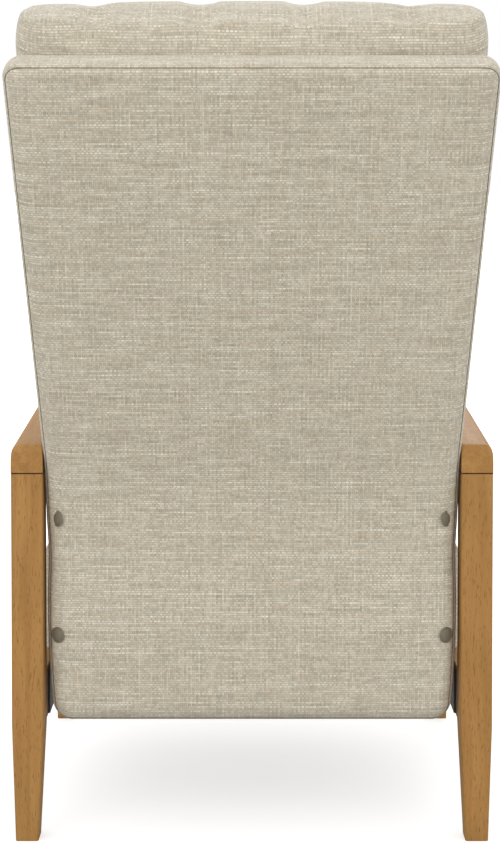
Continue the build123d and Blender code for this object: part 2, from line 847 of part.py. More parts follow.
def crank_pin_place():
    lean = math.radians(fold_angle / 2)
    return (drive_pivot_y - crank_radius * math.sin(lean), drive_pivot_z + crank_radius * math.cos(lean))


def crank():
    """Two plates clamped on the torque tube, with the crank pin through both."""
    hub = link_points()["pivot"]
    pin_place = crank_pin_place()
    holes = [(hub, torque_tube_radius + pin_clearance)]
    face = link_face(hub, pin_place, 2 * crank_end_radius, holes)
    plate = side_solid(face, crank_plate_x, crank_plate_thickness)
    reach = yoke_arm_x + yoke_arm_thickness + pin_head_thickness
    pin = rod(pin_place, -reach, reach, pin_radius)
    return plate + mirrored(plate) + pin


def drive_beam():
    """The beam that the nut carries: two forward arms with yoke slots, and ends for the push rods."""
    z_low, z_high = beam_z - beam_height / 2, beam_z + beam_height / 2
    beam = slab(-beam_half_length, beam_half_length, beam_y, beam_y + beam_depth, z_low, z_high)
    pin_low = crank_pin_place()[1]
    pin_high = drive_pivot_z + crank_radius
    slot_radius = pin_radius + yoke_slack
    head_half = slot_radius + plate_margin / 2
    arm = polygon([
        (beam_y, z_low), (yoke_y + head_half, z_low),
        (yoke_y + head_half, pin_high + slot_radius + plate_margin / 2),
        (yoke_y - head_half, pin_high + slot_radius + plate_margin / 2),
        (yoke_y - head_half, z_high), (beam_y, z_high),
    ])
    arm -= link_face((yoke_y, pin_low), (yoke_y, pin_high), 2 * slot_radius)
    solid = side_solid(arm, yoke_arm_x, yoke_arm_thickness)
    return beam + solid + mirrored(solid)


def push_rod():
    face = link_face((rod_pin_y, beam_z), (beam_y + beam_depth - beam_height / 2, beam_z), beam_height)
    bar = side_solid(face, beam_half_length, push_rod_thickness)
    pin_end = outer_link_x + link_thickness + plate_gap / 2
    pin = rod((rod_pin_y, beam_z), beam_half_length, pin_end, pin_radius)
    return bar + pin


def screw_z():
    return track_low + track_height / 2


def track():
    """The drive track: a channel with a slot along its underside."""
    half = track_width / 2
    z_high = track_low + track_height
    solid = slab(-half, half, track_rear_y, track_front_y, track_low, z_high)
    solid -= slab(track_wall - half, half - track_wall, track_rear_y - cut_overrun,
                  track_front_y - track_wall, track_low + track_wall, z_high - track_wall)
    slot_half = track_slot_width / 2
    front_stop = track_front_y - front_bracket_depth
    solid -= slab(-slot_half, slot_half, track_rear_y - cut_overrun, front_stop,
                  track_low - cut_overrun, track_low + track_wall + cut_overrun)
    return solid


def drive_nut():
    """The nut that rides in the track on the screw, with the neck that carries the beam."""
    y_low = beam_y + beam_depth / 2 - nut_length / 2
    half = nut_width / 2
    z_low = track_low + track_wall + slide_clearance
    z_high = track_low + track_height - track_wall - slide_clearance
    block = slab(-half, half, y_low, y_low + nut_length, z_low, z_high)
    neck_half = nut_neck_width / 2
    neck_low = beam_z + beam_height / 2
    neck = slab(-neck_half, neck_half, beam_y, beam_y + beam_depth, neck_low, z_low + cut_overrun)
    bore = along_y(0, screw_z(), y_low - cut_overrun, y_low + nut_length + cut_overrun,
                   screw_radius + pin_clearance)
    return block + neck - bore


def lead_screw():
    y_high = track_front_y - track_wall - slide_clearance
    return along_y(0, screw_z(), track_rear_y + slide_clearance, y_high, screw_radius)


def gearbox():
    half = gearbox_width / 2
    z_low = cross_rail_low + cross_rail_height + side_plate_thickness
    solid = slab(-half, half, track_rear_y - gearbox_length, track_rear_y, z_low, z_low + gearbox_height)
    return fillet(solid.edges().filter_by(Axis.Z), gearbox_edge_radius)


def motor():
    """The motor lies across the chair beside the gearbox."""
    y = track_rear_y - gearbox_length / 2
    z = cross_rail_low + cross_rail_height + side_plate_thickness + gearbox_height / 2
    x_low = gearbox_width / 2
    body = rod((y, z), x_low, x_low + motor_length, motor_radius)
    cap = rod((y, z), x_low + motor_length, x_low + motor_length + motor_cap_length, motor_cap_radius)
    return body + cap


def power_inlet():
    """The socket on the gearbox where the supply lead would plug in."""
    y = track_rear_y - gearbox_length / 2
    z = cross_rail_low + cross_rail_height + side_plate_thickness + gearbox_height / 2
    x = -gearbox_width / 2
    half = inlet_size / 2
    block = slab(x - inlet_depth, x, y - half, y + half, z - half, z + half)
    return block - rod((y, z), x - inlet_depth - cut_overrun, x - track_wall, inlet_bore_radius)


def track_brackets():
    """A foot under the gearbox and a post under the front end of the track."""
    half = bracket_width / 2
    rail_top = cross_rail_low + cross_rail_height
    rear = slab(-half, half, rear_cross_rail_y, track_rear_y, rail_top, rail_top + side_plate_thickness)
    y_low = track_front_y - front_bracket_depth
    front_post = slab(-half, half, y_low, track_front_y, rail_top, track_low)
    return [rear, front_post]


def control_pod():
    """The hand control under the right arm, with two wells for its buttons."""
    x_high = half_width - wood_edge_radius
    x_low = x_high - pod_width
    y_high = pod_rear_y + pod_length
    z_low = arm_bottom(pod_rear_y) - pod_height
    face = polygon([
        (pod_rear_y, z_low),
        (y_high, z_low),
        (y_high, arm_bottom(y_high)),
        (pod_rear_y, arm_bottom(pod_rear_y)),
    ])
    solid = side_solid(face, x_low, pod_width)
    uprights = [edge for edge in solid.edges() if edge.bounding_box().size.Z > pod_height / 2]
    solid = fillet(uprights, pod_edge_radius)
    well_radius = button_radius + button_clearance
    for place in button_places():
        solid -= rod(place, x_high - button_well_depth, x_high + cut_overrun, well_radius)
    return solid


def button_places():
    middle_y = pod_rear_y + pod_length / 2
    z = arm_bottom(pod_rear_y) - pod_height / 2
    return [(middle_y - button_spacing / 2, z), (middle_y + button_spacing / 2, z)]


def button(place):
    x_high = half_width - wood_edge_radius + button_proud
    cap = rod(place, x_high - button_length, x_high, button_radius)
    return fillet(cap.edges().sort_by(Axis.X)[-1:], button_proud * button_round_share)


def both_sides(name, solid):
    """The right-hand solid and its mirror image under a right and a left name."""
    return {"right_" + name: solid, "left_" + name: mirrored(solid)}


def all_pieces():
    pieces = {}
    front_leg_y = frame_depth - leg_depth
    pieces.update(both_sides("rear_leg", leg(0)))
    pieces.update(both_sides("front_leg", leg(front_leg_y)))
    pieces.update(both_sides("arm", arm()))
    pieces.update(both_sides("side_rail", drilled_side_rail()))
    pieces["rear_cross_rail"] = cross_rail(rear_cross_rail_y)
    pieces["front_cross_rail"] = cross_rail(front_cross_rail_y)
    pieces.update(both_sides("side_plate", side_plate()))
    bolts = [plate_bolt(place) for place in plate_bolt_places()]
    pieces["side_plate_bolts"] = bolts + [mirrored(bolt) for bolt in bolts]
    pieces.update(both_sides("side_panel", side_panel()))
    pieces.update(seat_rails())
    pieces["seat_webbing"] = seat_webbing()
    pieces["seat_cushion"] = seat_cushion()
    pieces["back_shell"] = back_shell()
    pieces.update(back_frame())
    pieces["back_cushion"] = back_cushion()
    pieces["tuft_buttons"] = tuft_buttons()
    pieces["back_bolts"] = back_bolts()
    pieces["back_caps"] = back_caps()
    pieces.update(both_sides("back_bracket", back_bracket()))
    pieces["back_pivot_pins"] = [back_pivot_pin(), mirrored(back_pivot_pin())]
    pieces["torque_tube"] = torque_tube()
    pieces["crank"] = crank()
    pieces.update(both_sides("drive_bar", drive_bar()))
    pieces["drive_pins"] = drive_pins() + [mirrored(pin) for pin in drive_pins()]
    pieces.update(both_sides("cross_bar", cross_bar()))
    pieces["cross_pins"] = cross_pins() + [mirrored(pin) for pin in cross_pins()]
    pieces["cross_shaft"] = rod(link_points()["cross_end"], -inner_link_x, inner_link_x, cross_shaft_radius)
    pieces["tie_links"] = [tie_link(), mirrored(tie_link())]
    pieces["tie_pins"] = [tie_pin(), mirrored(tie_pin())]
    pieces.update(both_sides("footrest_bar", footrest_bar()))
    pieces["footrest_board"] = footrest_board()
    pieces["footrest_pad"] = footrest_pad()
    pieces["drive_beam"] = drive_beam()
    pieces["push_rods"] = [push_rod(), mirrored(push_rod())]
    pieces["drive_track"] = track()
    pieces["drive_nut"] = drive_nut()
    pieces["lead_screw"] = lead_screw()
    pieces["gearbox"] = gearbox()
    pieces["drive_motor"] = motor()
    pieces["power_inlet"] = power_inlet()
    pieces["track_brackets"] = track_brackets()
    pieces["control_pod"] = control_pod()
    near, far = button_places()
    pieces["recline_button"] = button(far)
    pieces["return_button"] = button(near)
    return pieces


def joint_places(shift):
    """The joints' places in the finished frame, as (y, z)."""
    places = {name: link_points()[name] for name in ("pivot", "crossing", "drive_end", "cross_end")}
    places["back_pivot"] = (back_pivot_y, back_pivot_z)
    places["screw"] = (track_rear_y, screw_z())
    places["rear_foot"] = (leg_depth / 2, 0)
    places["front_foot"] = (frame_depth - leg_depth / 2, 0)
    return {name: (place[0] + shift, place[1]) for name, place in places.items()}


def main():
    os.makedirs("parts", exist_ok=True)
    pieces = all_pieces()
    solids = {name: piece if isinstance(piece, list) else [piece] for name, piece in pieces.items()}
    whole = Compound([solid for group in solids.values() for solid in group]).bounding_box()
    shift = -(whole.min.Y + whole.max.Y) / 2
    for name, group in solids.items():
        moved = [Pos(0, shift, 0) * solid for solid in group]
        export_step(moved[0] if len(moved) == 1 else Compound(moved), f"parts/{name}.step")
    print("nodes", len(solids), "size", whole.size.X, whole.size.Y, whole.size.Z, "shift", shift)
    print("travel", travel, "fold", fold_angle, "recline", back_recline, "screw lead", screw_lead)
    for name, place in joint_places(shift).items():
        print(name, round(place[0], 4), round(place[1], 4))


main()
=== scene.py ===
import math

import bmesh
import bpy
import numpy as np
from bpy.props import FloatProperty, FloatVectorProperty, IntProperty, PointerProperty
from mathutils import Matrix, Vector, noise
from mathutils.bvhtree import BVHTree
from mathutils.kdtree import KDTree


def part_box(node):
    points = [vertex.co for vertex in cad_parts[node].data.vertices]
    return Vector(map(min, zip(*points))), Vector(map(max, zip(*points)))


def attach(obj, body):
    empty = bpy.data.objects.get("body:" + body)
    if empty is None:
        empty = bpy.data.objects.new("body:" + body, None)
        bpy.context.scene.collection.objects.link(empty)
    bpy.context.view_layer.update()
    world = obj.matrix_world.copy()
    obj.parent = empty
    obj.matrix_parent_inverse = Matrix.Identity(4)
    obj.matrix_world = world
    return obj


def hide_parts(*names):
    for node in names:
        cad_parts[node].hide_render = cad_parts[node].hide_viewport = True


# The looks of a power recliner: woven tweed cushions and back, a honey brown wooden arm frame, and the
# steel linkage and drive under the seat. Sizes are in metres; those typed in millimetres are times MM.

bl_info = {
    "name": "Power Recliner Looks",
    "version": (1, 0, 0),
    "blender": (4, 5, 0),
    "location": "3D View > Sidebar > Recliner",
    "description": "Dresses the frame of a power recliner in its fabric, wood and steel",
    "category": "Object",
}

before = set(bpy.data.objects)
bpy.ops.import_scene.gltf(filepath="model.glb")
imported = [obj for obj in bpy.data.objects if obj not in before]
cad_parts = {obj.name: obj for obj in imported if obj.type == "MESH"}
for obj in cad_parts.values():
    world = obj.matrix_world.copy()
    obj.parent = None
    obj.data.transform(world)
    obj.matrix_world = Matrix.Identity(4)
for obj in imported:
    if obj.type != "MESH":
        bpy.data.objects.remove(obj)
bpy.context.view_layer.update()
MM = 0.001

# Places that follow from the frame
SHELL_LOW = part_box("back_shell")[0]
REAR_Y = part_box("left_rear_leg")[0].y
INNER_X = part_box("right_rear_leg")[0].x
ARM_LOW, ARM_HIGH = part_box("right_arm")
# The arms rise by 30 mm over the frame's depth of 620 mm
ARM_SLOPE = math.atan2(30, 620)
ARM_THICKNESS = 38 * MM
ARM_END_RADIUS = 12 * MM
ARM_OUTER_RADIUS = 12 * MM
ARM_INNER_RADIUS = 4 * MM

# The back's own sizes, which the frame's solid shares
BACK_LEAN = math.radians(20)
BACK_THICKNESS = 54 * MM
BACK_REAR_Y = REAR_Y + 10 * MM
BACK_FRONT_Y = BACK_REAR_Y + BACK_THICKNESS
UPRIGHT_HEIGHT = 304 * MM
LEAN_RISE = 577 * MM
# Half the back's width, as pairs of millimetres up its rear face and millimetres from its middle
HALF_WIDTHS = (
    (0, 270), (60, 275.5), (123, 278.5), (180, 278.8), (232, 276.6), (265, 279.8), (304, 280.5), (340, 281.0),
    (360, 281.8), (921, 313))
BULLNOSE_RADIUS = 25 * MM
BEND_HALF_LENGTH = 60 * MM
CAP_X = 263.5 * MM
LOWER_CAP_TURN = math.radians(38)
UPPER_CAP_TURN = math.radians(50)
FOOT_CORNER_RADIUS = 26 * MM
TOP_CORNER_RADIUS = 23 * MM
TOP_BULLNOSE_RADIUS = 13 * MM

# Points of a solid's mesh that lie closer than this are one point
WELD_DISTANCE = 0.02 * MM
# The cushions' covers keep this far from the arms and legs, and round off over the soft edge
SIDE_GAP = 1.5 * MM
SOFT_EDGE = 6 * MM
# The part of a cushion's solid, from its carrier up, that its filling doesn't swell
HELD_DEPTH = 8 * MM


class ReclinerSizes(bpy.types.PropertyGroup):
    """Sizes and counts that a user would change."""

    weft_pitch: FloatProperty(
        name="Weft pitch", description="Distance between two threads that run across the cloth",
        default=3.1 * MM, unit="LENGTH")
    warp_pitch: FloatProperty(
        name="Warp pitch", description="Distance between two threads that run up the cloth",
        default=2.7 * MM, unit="LENGTH")
    seam_inset: FloatProperty(
        name="Seam inset", description="Distance of the back panel's seam from the back's outline",
        default=4.7 * MM, unit="LENGTH")
    seam_depth: FloatProperty(
        name="Seam depth", description="How deep a seam pulls into the padding",
        default=1.6 * MM, unit="LENGTH")
    thread_radius: FloatProperty(
        name="Thread radius", description="Radius of the sewing thread in a seam",
        default=0.55 * MM, unit="LENGTH")
    pressure: FloatProperty(
        name="Filling pressure", description="Pressure that swells the cushions", default=4.0)
    swell_limit: FloatProperty(
        name="Swell limit", description="How far a point of a cushion may move",
        default=24 * MM, unit="LENGTH")
    grid: FloatProperty(
        name="Fabric grid", description="Mesh size of the cushions before they are smoothed",
        default=6 * MM, unit="LENGTH")
    seed: IntProperty(name="Seed", description="Seed of the uneven patterns", default=4)


class ReclinerColours(bpy.types.PropertyGroup):
    """Tints that a user would change, as linear values."""

    cloth: FloatVectorProperty(
        name="Cloth", description="Tint over the tweed's own yarn colours",
        subtype="COLOR", size=3, soft_max=1.5, default=(1.08, 1.08, 1.075))
    wood: FloatVectorProperty(
        name="Wood", description="Tint over the wood's own colours",
        subtype="COLOR", size=3, soft_max=1.5, default=(1.02, 1.10, 1.33))


def linear(hex_colour):
    """An sRGB hex colour as linear RGBA."""
    parts = [int(hex_colour[index:index + 2], 16) / 255 for index in (1, 3, 5)]
    return tuple(p / 12.92 if p <= 0.04045 else ((p + 0.055) / 1.055) ** 2.4 for p in parts) + (1.0,)


def add(tree, kind, sockets=(), **settings):
    """A node with its settings, and its sockets set to values or linked to other nodes or sockets."""
    made = tree.nodes.new(kind)
    for name, value in settings.items():
        setattr(made, name, value)
    for key, value in dict(sockets).items():
        if isinstance(value, bpy.types.Node):
            value = value.outputs[0]
        if isinstance(value, bpy.types.NodeSocket):
            tree.links.new(value, made.inputs[key])
        else:
            made.inputs[key].default_value = value
    return made


def maths(tree, operation, *values):
    """A maths node over numbers, nodes or sockets."""
    return add(tree, "ShaderNodeMath", dict(enumerate(values)), operation=operation)


def remap(tree, value, source, target, **settings):
    """A value of one range moved into another range, and held within it."""
    return add(tree, "ShaderNodeMapRange", dict(enumerate((value, *source, *target))), **settings)


def new_material(name, **sockets):
    """A material with a Principled shader whose sockets are set directly; returns its tree and shader too."""
    material = bpy.data.materials.new(name)
    material.use_nodes = True
    tree = material.node_tree
    shader = next(node for node in tree.nodes if node.type == "BSDF_PRINCIPLED")
    for key, value in sockets.items():
        shader.inputs[key.replace("_", " ")].default_value = value
    return material, tree, shader


def finish_surface(tree, shader, colour, height, strength, distance):
    """Gives a shader its colour, and a bump whose height is counted in distances."""
    tree.links.new(colour, shader.inputs["Base Color"])
    bump = add(tree, "ShaderNodeBump", {"Height": height, "Strength": strength, "Distance": distance})
    tree.links.new(bump.outputs[0], shader.inputs["Normal"])


def once(maker):
    """The material that a function makes, made at its first use."""
    found = bpy.data.materials.get(maker.__name__)
    return found or maker()


def ramp(tree, factor, stops):
    """A colour ramp through (place, hex colour) stops."""
    made = add(tree, "ShaderNodeValToRGB", {0: factor})
    elements = made.color_ramp.elements
    while len(elements) < len(stops):
        elements.new(0.5)
    for element, (place, colour) in zip(elements, stops):
        element.position = place
        element.color = linear(colour)
    return made


# The yarns' colours from the darkest thread to the lightest
YARN_COLOURS = {
    "weft": ((0.0, "#A89F8D"), (0.30, "#BAB19F"), (0.55, "#C6BEAD"), (0.80, "#D4CDBD"), (1.0, "#DCD5C6")),
    "warp": ((0.0, "#AAA18F"), (0.40, "#B8B09E"), (0.75, "#C4BCAB"), (1.0, "#D2CBBB")),
}


def woven_threads(tree, weave, sizes):
    """Weft and warp of a plain weave: each one's count, index and height at a place of the cloth."""
    place = add(tree, "ShaderNodeSeparateXYZ", {0: weave})
    wander = add(tree, "ShaderNodeTexNoise", {"Vector": weave, "Scale": 45.0, "Detail": 1.0})
    shift = maths(tree, "SUBTRACT", wander.outputs[0], 0.5)
    threads = {}
    # Each thread wanders off its straight line by a share of its pitch
    for name, axis, pitch, share in (
            ("weft", "Y", sizes.weft_pitch, 0.55), ("warp", "X", sizes.warp_pitch, 0.4)):
        straight = maths(tree, "MULTIPLY", place.outputs[axis], 1 / pitch)
        count = maths(tree, "MULTIPLY_ADD", shift, share, straight)
        threads[name] = {
            "count": count,
            "index": maths(tree, "FLOOR", count),
            "wave": maths(tree, "SINE", maths(tree, "MULTIPLY", count, math.pi)),
        }
    crossing = maths(tree, "MULTIPLY", threads["weft"]["wave"], threads["warp"]["wave"])
    # Weft threads are thicker than warp threads, so they stand higher
    for name, sign, height in (("weft", 0.14, 1.0), ("warp", -0.14, 0.86)):
        over = maths(tree, "MULTIPLY_ADD", crossing, sign, 0.7)
        round_top = maths(tree, "ABSOLUTE", threads[name]["wave"])
        profile = maths(tree, "MULTIPLY", round_top, over)
        threads[name]["height"] = maths(tree, "MULTIPLY", profile, height)
    return threads


def yarn_colour(tree, thread, other, run, turn, palette):
    """A thread's own shade, which drifts along it as slubs do, with brown flecks."""
    along = maths(tree, "MULTIPLY", other["count"], run)
    own = add(tree, "ShaderNodeTexWhiteNoise", {
        "W": maths(tree, "ADD", thread["index"], turn)}, noise_dimensions="1D")
    lane = maths(tree, "MULTIPLY", own, 80.0)
    slub, dye = (
        add(tree, "ShaderNodeTexNoise", {
            "Vector": add(tree, "ShaderNodeCombineXYZ", {"X": along, "Y": lane, "Z": lift}),
            "Scale": scale, "Detail": 2.0}).outputs[0]
        for lift, scale in ((0.0, 1.0), (31.0, 0.8)))
    spread = remap(tree, slub, (0.32, 0.70), (0.0, 1.0))
    # Every second thread is a little lighter
    pair = maths(tree, "FLOORED_MODULO", thread["index"], 2.0)
    lighter = maths(tree, "MULTIPLY_ADD", pair, 0.12, -0.10)
    shade = maths(tree, "MULTIPLY_ADD", own, 0.26, lighter)
    plain = ramp(tree, maths(tree, "MULTIPLY_ADD", spread, 0.66, shade), palette)
    brown = remap(tree, dye, (0.60, 0.70), (0.0, 0.4))
    return add(tree, "ShaderNodeMix", {
        "Factor": brown, 6: plain, 7: linear("#B99F7E")}, data_type="RGBA").outputs[2]


def oatmeal_tweed():
    """Plain woven tweed of thick slubbed yarn: matt and soft, with lighter weft lines that stand proud, and
    painted shade between the threads.

    The real yarn is about 1.5 mm thick. It is drawn twice as coarse so that single threads show."""
    material, tree, shader = new_material(
        "oatmeal_tweed", Roughness=0.9, Sheen_Weight=0.25, Sheen_Roughness=0.6, Specular_IOR_Level=0.25)
    weave = add(tree, "ShaderNodeUVMap", uv_map="weave")
    threads = woven_threads(tree, weave, bpy.context.scene.recliner_sizes)
    weft, warp = threads["weft"], threads["warp"]
    weft_colour = yarn_colour(tree, weft, warp, 0.05, 13.7, YARN_COLOURS["weft"])
    warp_colour = yarn_colour(tree, warp, weft, 0.07, 17.9, YARN_COLOURS["warp"])
    weft_on_top = maths(tree, "GREATER_THAN", weft["height"], warp["height"])
    top = maths(tree, "MAXIMUM", weft["height"], warp["height"])
    colour = add(tree, "ShaderNodeMix", {
        "Factor": weft_on_top, 6: warp_colour, 7: weft_colour}, data_type="RGBA").outputs[2]
    # The yarn is uneven, so that no two crossings are of one tone
    knot = add(tree, "ShaderNodeCombineXYZ", {"X": weft["index"], "Y": warp["index"]})
    uneven = remap(tree, add(tree, "ShaderNodeTexWhiteNoise", {"Vector": knot}, noise_dimensions="2D"),
                   (0.0, 1.0), (0.86, 1.14))
    # Painted shade: each thread darkens towards its edges and the gaps between threads as the weave's height
    # falls, and each crossing keeps its own uneven tone
    shade = maths(tree, "MULTIPLY", remap(tree, top, (0.1, 0.8), (0.74, 1.06)), uneven)
    colour_with_painted_gap_shade = add(tree, "ShaderNodeVectorMath", {0: colour, 1: shade}, operation="MULTIPLY")
    tinted = add(tree, "ShaderNodeVectorMath", {
        0: colour_with_painted_gap_shade, 1: tuple(bpy.context.scene.recliner_colours.cloth)}, operation="MULTIPLY")
    fuzz = add(tree, "ShaderNodeTexNoise", {"Vector": weave, "Scale": 900.0, "Detail": 1.0})
    height = maths(tree, "MULTIPLY_ADD", fuzz.outputs[0], 0.25, top)
    finish_surface(tree, shader, tinted.outputs[0], height, 0.55, 0.6 * MM)
    return material


def grain_coordinates(tree, direction):
    """Object coordinates turned so that X runs along the grain."""
    turns = {"X": (0, 0, 0), "Y": (0, 0, math.pi / 2), "Z": (0, math.pi / 2, 0)}
    source = add(tree, "ShaderNodeTexCoord").outputs["Object"]
    return add(tree, "ShaderNodeMapping", {"Vector": source, "Rotation": turns[direction]})


def honey_wood(direction, name):
    """Solid rubberwood stained honey brown and oiled: satin, with short dark pores along the grain."""
    material, tree, shader = new_material(name, Roughness=0.52, Specular_IOR_Level=0.16, Coat_Weight=0.03,
                                          Coat_Roughness=0.4)
    place = grain_coordinates(tree, direction)
    # Growth bands are 5 to 10 mm wide, pores about 0.4 mm wide and 4 to 8 mm long
    bands = add(tree, "ShaderNodeTexNoise", {
        "Vector": add(tree, "ShaderNodeMapping", {"Vector": place, "Scale": (4.0, 75.0, 75.0)}),
        "Scale": 1.0, "Detail": 4.0, "Roughness": 0.55, "Distortion": 0.6})
    pores = add(tree, "ShaderNodeTexNoise", {
        "Vector": add(tree, "ShaderNodeMapping", {"Vector": place, "Scale": (95.0, 620.0, 620.0)}),
        "Scale": 1.0, "Detail": 2.0})
    blotches = add(tree, "ShaderNodeTexNoise", {
        "Vector": add(tree, "ShaderNodeMapping", {"Vector": place, "Scale": (9.0, 24.0, 24.0)}),
        "Scale": 1.0, "Detail": 3.0})
    base = ramp(tree, bands.outputs[0], (
        (0.25, "#9D6E37"), (0.45, "#A5753B"), (0.60, "#AB7B3F"), (0.78, "#B38346")))
    patch = remap(tree, blotches.outputs[0], (0.35, 0.70), (0.93, 1.05))
    toned = add(tree, "ShaderNodeVectorMath", {0: base, 1: patch}, operation="MULTIPLY")
    fleck = remap(tree, pores.outputs[0], (0.57, 0.70), (0.0, 0.62))
    colour = add(tree, "ShaderNodeMix", {
        "Factor": fleck, 6: toned.outputs[0], 7: linear("#7A4F28")}, data_type="RGBA")
    # A thin dark band of stain and painted shade, for the shadow in the gap, lies along the joint between leg
    # and arm, which slopes as the arm does
    spot = add(tree, "ShaderNodeSeparateXYZ", {0: add(tree, "ShaderNodeTexCoord").outputs["Object"]})
    level = maths(tree, "MULTIPLY_ADD", spot.outputs["Y"], -math.tan(ARM_SLOPE), spot.outputs["Z"])
    joint_level = ARM_LOW.z - REAR_Y * math.tan(ARM_SLOPE)
    joint = maths(tree, "COMPARE", level, joint_level, 0.9 * MM)
    # Painted shade of the joint's gap, with its stain, mixed into the wood's colour
    joint_stain_and_painted_shade = add(tree, "ShaderNodeMix", {
        "Factor": joint, 6: colour.outputs[2], 7: linear("#3B2613")}, data_type="RGBA")
    tinted = add(tree, "ShaderNodeVectorMath", {
        0: joint_stain_and_painted_shade.outputs[2], 1: tuple(bpy.context.scene.recliner_colours.wood)}, operation="MULTIPLY")
    depth = maths(tree, "MULTIPLY_ADD", fleck, -1.0, bands.outputs[0])
    finish_surface(tree, shader, tinted.outputs[0], depth, 0.25, 0.15 * MM)
    return material


def honey_wood_upright():
    """The legs' wood, with its grain up the leg."""
    return honey_wood("Z", "honey_wood_upright")


def honey_wood_level():
    """The arms' and side rails' wood, with its grain front to back."""
    return honey_wood("Y", "honey_wood_level")


def sawn_pine():
    """Raw planed pine of the hidden frame: pale, matt, with soft brown growth lines."""
    material, tree, shader = new_material("sawn_pine", Roughness=0.75)
    place = grain_coordinates(tree, "X")
    lines = add(tree, "ShaderNodeTexNoise", {
        "Vector": add(tree, "ShaderNodeMapping", {"Vector": place, "Scale": (3.0, 110.0, 110.0)}),
        "Scale": 1.0, "Detail": 3.0, "Distortion": 0.8})
    colour = ramp(tree, lines.outputs[0], ((0.3, "#C9A777"), (0.5, "#DCBF92"), (0.7, "#E6CFA8")))
    finish_surface(tree, shader, colour.outputs[0], lines.outputs[0], 0.3, 0.2 * MM)
    return material


def streaked_metal(name, dark, light, roughness, scale, **sockets):
    """A metal whose tone and roughness vary with fine streaks or spangle."""
    material, tree, shader = new_material(name, Metallic=1.0, **sockets)
    source = add(tree, "ShaderNodeTexCoord").outputs["Object"]
    spangle = add(tree, "ShaderNodeTexNoise", {
        "Vector": add(tree, "ShaderNodeMapping", {"Vector": source, "Scale": scale}),
        "Scale": 1.0, "Detail": 3.0})
    colour = ramp(tree, spangle.outputs[0], ((0.3, dark), (0.7, light)))
    tree.links.new(colour.outputs[0], shader.inputs["Base Color"])
    low, high = roughness
    rough = remap(tree, spangle.outputs[0], (0.3, 0.7), (low, high))
    tree.links.new(rough.outputs[0], shader.inputs["Roughness"])
    return material


def zinc_plated_steel():
    """Pressed steel with bright zinc plating: grey, slightly blotchy, half matt."""
    return streaked_metal("zinc_plated_steel", "#8F9194", "#B4B5B6", (0.36, 0.52), (60.0, 60.0, 60.0))


def turned_steel():
    """Turned steel of pins and bolts: bright, with fine rings."""
    return streaked_metal("turned_steel", "#A5A6A8", "#CDCDCD", (0.22, 0.34), (500.0, 90.0, 90.0))


def powder_coated_steel():
    """Pressed steel with black powder coating: dark, half matt, with a fine orange peel."""
    return moulded_plastic("powder_coated_steel", "#2A2724", 0.5, 1.5 * MM)


def anodised_aluminium():
    """Extruded aluminium, clear anodised: pale, satin, with drawing lines along it."""
    return streaked_metal("anodised_aluminium", "#BFC1C3", "#D4D5D6", (0.30, 0.42), (700.0, 8.0, 700.0))


def moulded_plastic(name, colour, roughness, grit):
    """Moulded plastic with a fine spark-eroded texture."""
    material, tree, shader = new_material(name, Roughness=roughness)
    source = add(tree, "ShaderNodeTexCoord").outputs["Object"]
    grain = add(tree, "ShaderNodeTexNoise", {"Vector": source, "Scale": 1 / grit, "Detail": 2.0})
    tint = remap(tree, grain.outputs[0], (0.3, 0.7), (0.92, 1.08))
    toned = add(tree, "ShaderNodeVectorMath", {0: linear(colour)[:3], 1: tint}, operation="MULTIPLY")
    finish_surface(tree, shader, toned.outputs[0], grain.outputs[0], 0.25, 0.1 * MM)
    return material


def black_nylon():
    """Glass filled nylon of the drive: black, fine grit, half matt."""
    return moulded_plastic("black_nylon", "#1D1D1F", 0.55, 0.8 * MM)


def taupe_polyethylene():
    """Soft moulded caps in grey brown: matt with a waxy gloss."""
    return moulded_plastic("taupe_polyethylene", "#756E5D", 0.48, 1.2 * MM)


def grey_abs():
    """Moulded ABS of the buttons: mid grey and satin."""
    return moulded_plastic("grey_abs", "#8B8C8D", 0.4, 1.0 * MM)


def seam_thread():
    """Twisted polyester thread pulled into a seam: dark olive brown and matt."""
    return moulded_plastic("seam_thread", "#6A6454", 0.8, 0.6 * MM)


def elastic_webbing():
    """Woven elastic straps: black and ribbed along their length, their colour running from near black in the
    hollows to brown where ribs and picks stand highest.
    """
    material, tree, shader = new_material("elastic_webbing", Roughness=0.8, Sheen_Weight=0.2)
    place = add(tree, "ShaderNodeSeparateXYZ", {0: add(tree, "ShaderNodeTexCoord").outputs["Object"]})
    # Ribs 2.5 mm apart across the strap, and picks 1.8 mm apart along it
    waves = []
    for axis, pitch in (("Y", 2.5 * MM), ("X", 1.8 * MM)):
        angle = maths(tree, "MULTIPLY", place.outputs[axis], 2 * math.pi / pitch)
        waves.append(maths(tree, "SINE", angle))
    height = maths(tree, "ADD", waves[0], waves[1])
    tone = remap(tree, height, (-2.0, 2.0), (0.0, 1.0))
    colour = ramp(tree, tone, ((0.0, "#171614"), (0.6, "#2B2926"), (1.0, "#4A453D")))
    finish_surface(tree, shader, colour.outputs[0], height, 0.4, 0.3 * MM)
    return material


def paint_nodes(maker, *nodes):
    """Gives frame nodes one material."""
    for name in nodes:
        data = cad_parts[name].data
        data.materials.clear()
        data.materials.append(once(maker))


def linked(name, data):
    """A new object of the scene that holds the data."""
    made = bpy.data.objects.new(name, data)
    bpy.context.scene.collection.objects.link(made)
    return made


def mesh_object(name, points, faces):
    """A smooth shaded mesh object with its place in its mesh."""
    mesh = bpy.data.meshes.new(name)
    mesh.from_pydata([tuple(point) for point in points], [], [tuple(face) for face in faces])
    mesh.update()
    mesh.shade_smooth()
    return linked(name, mesh)


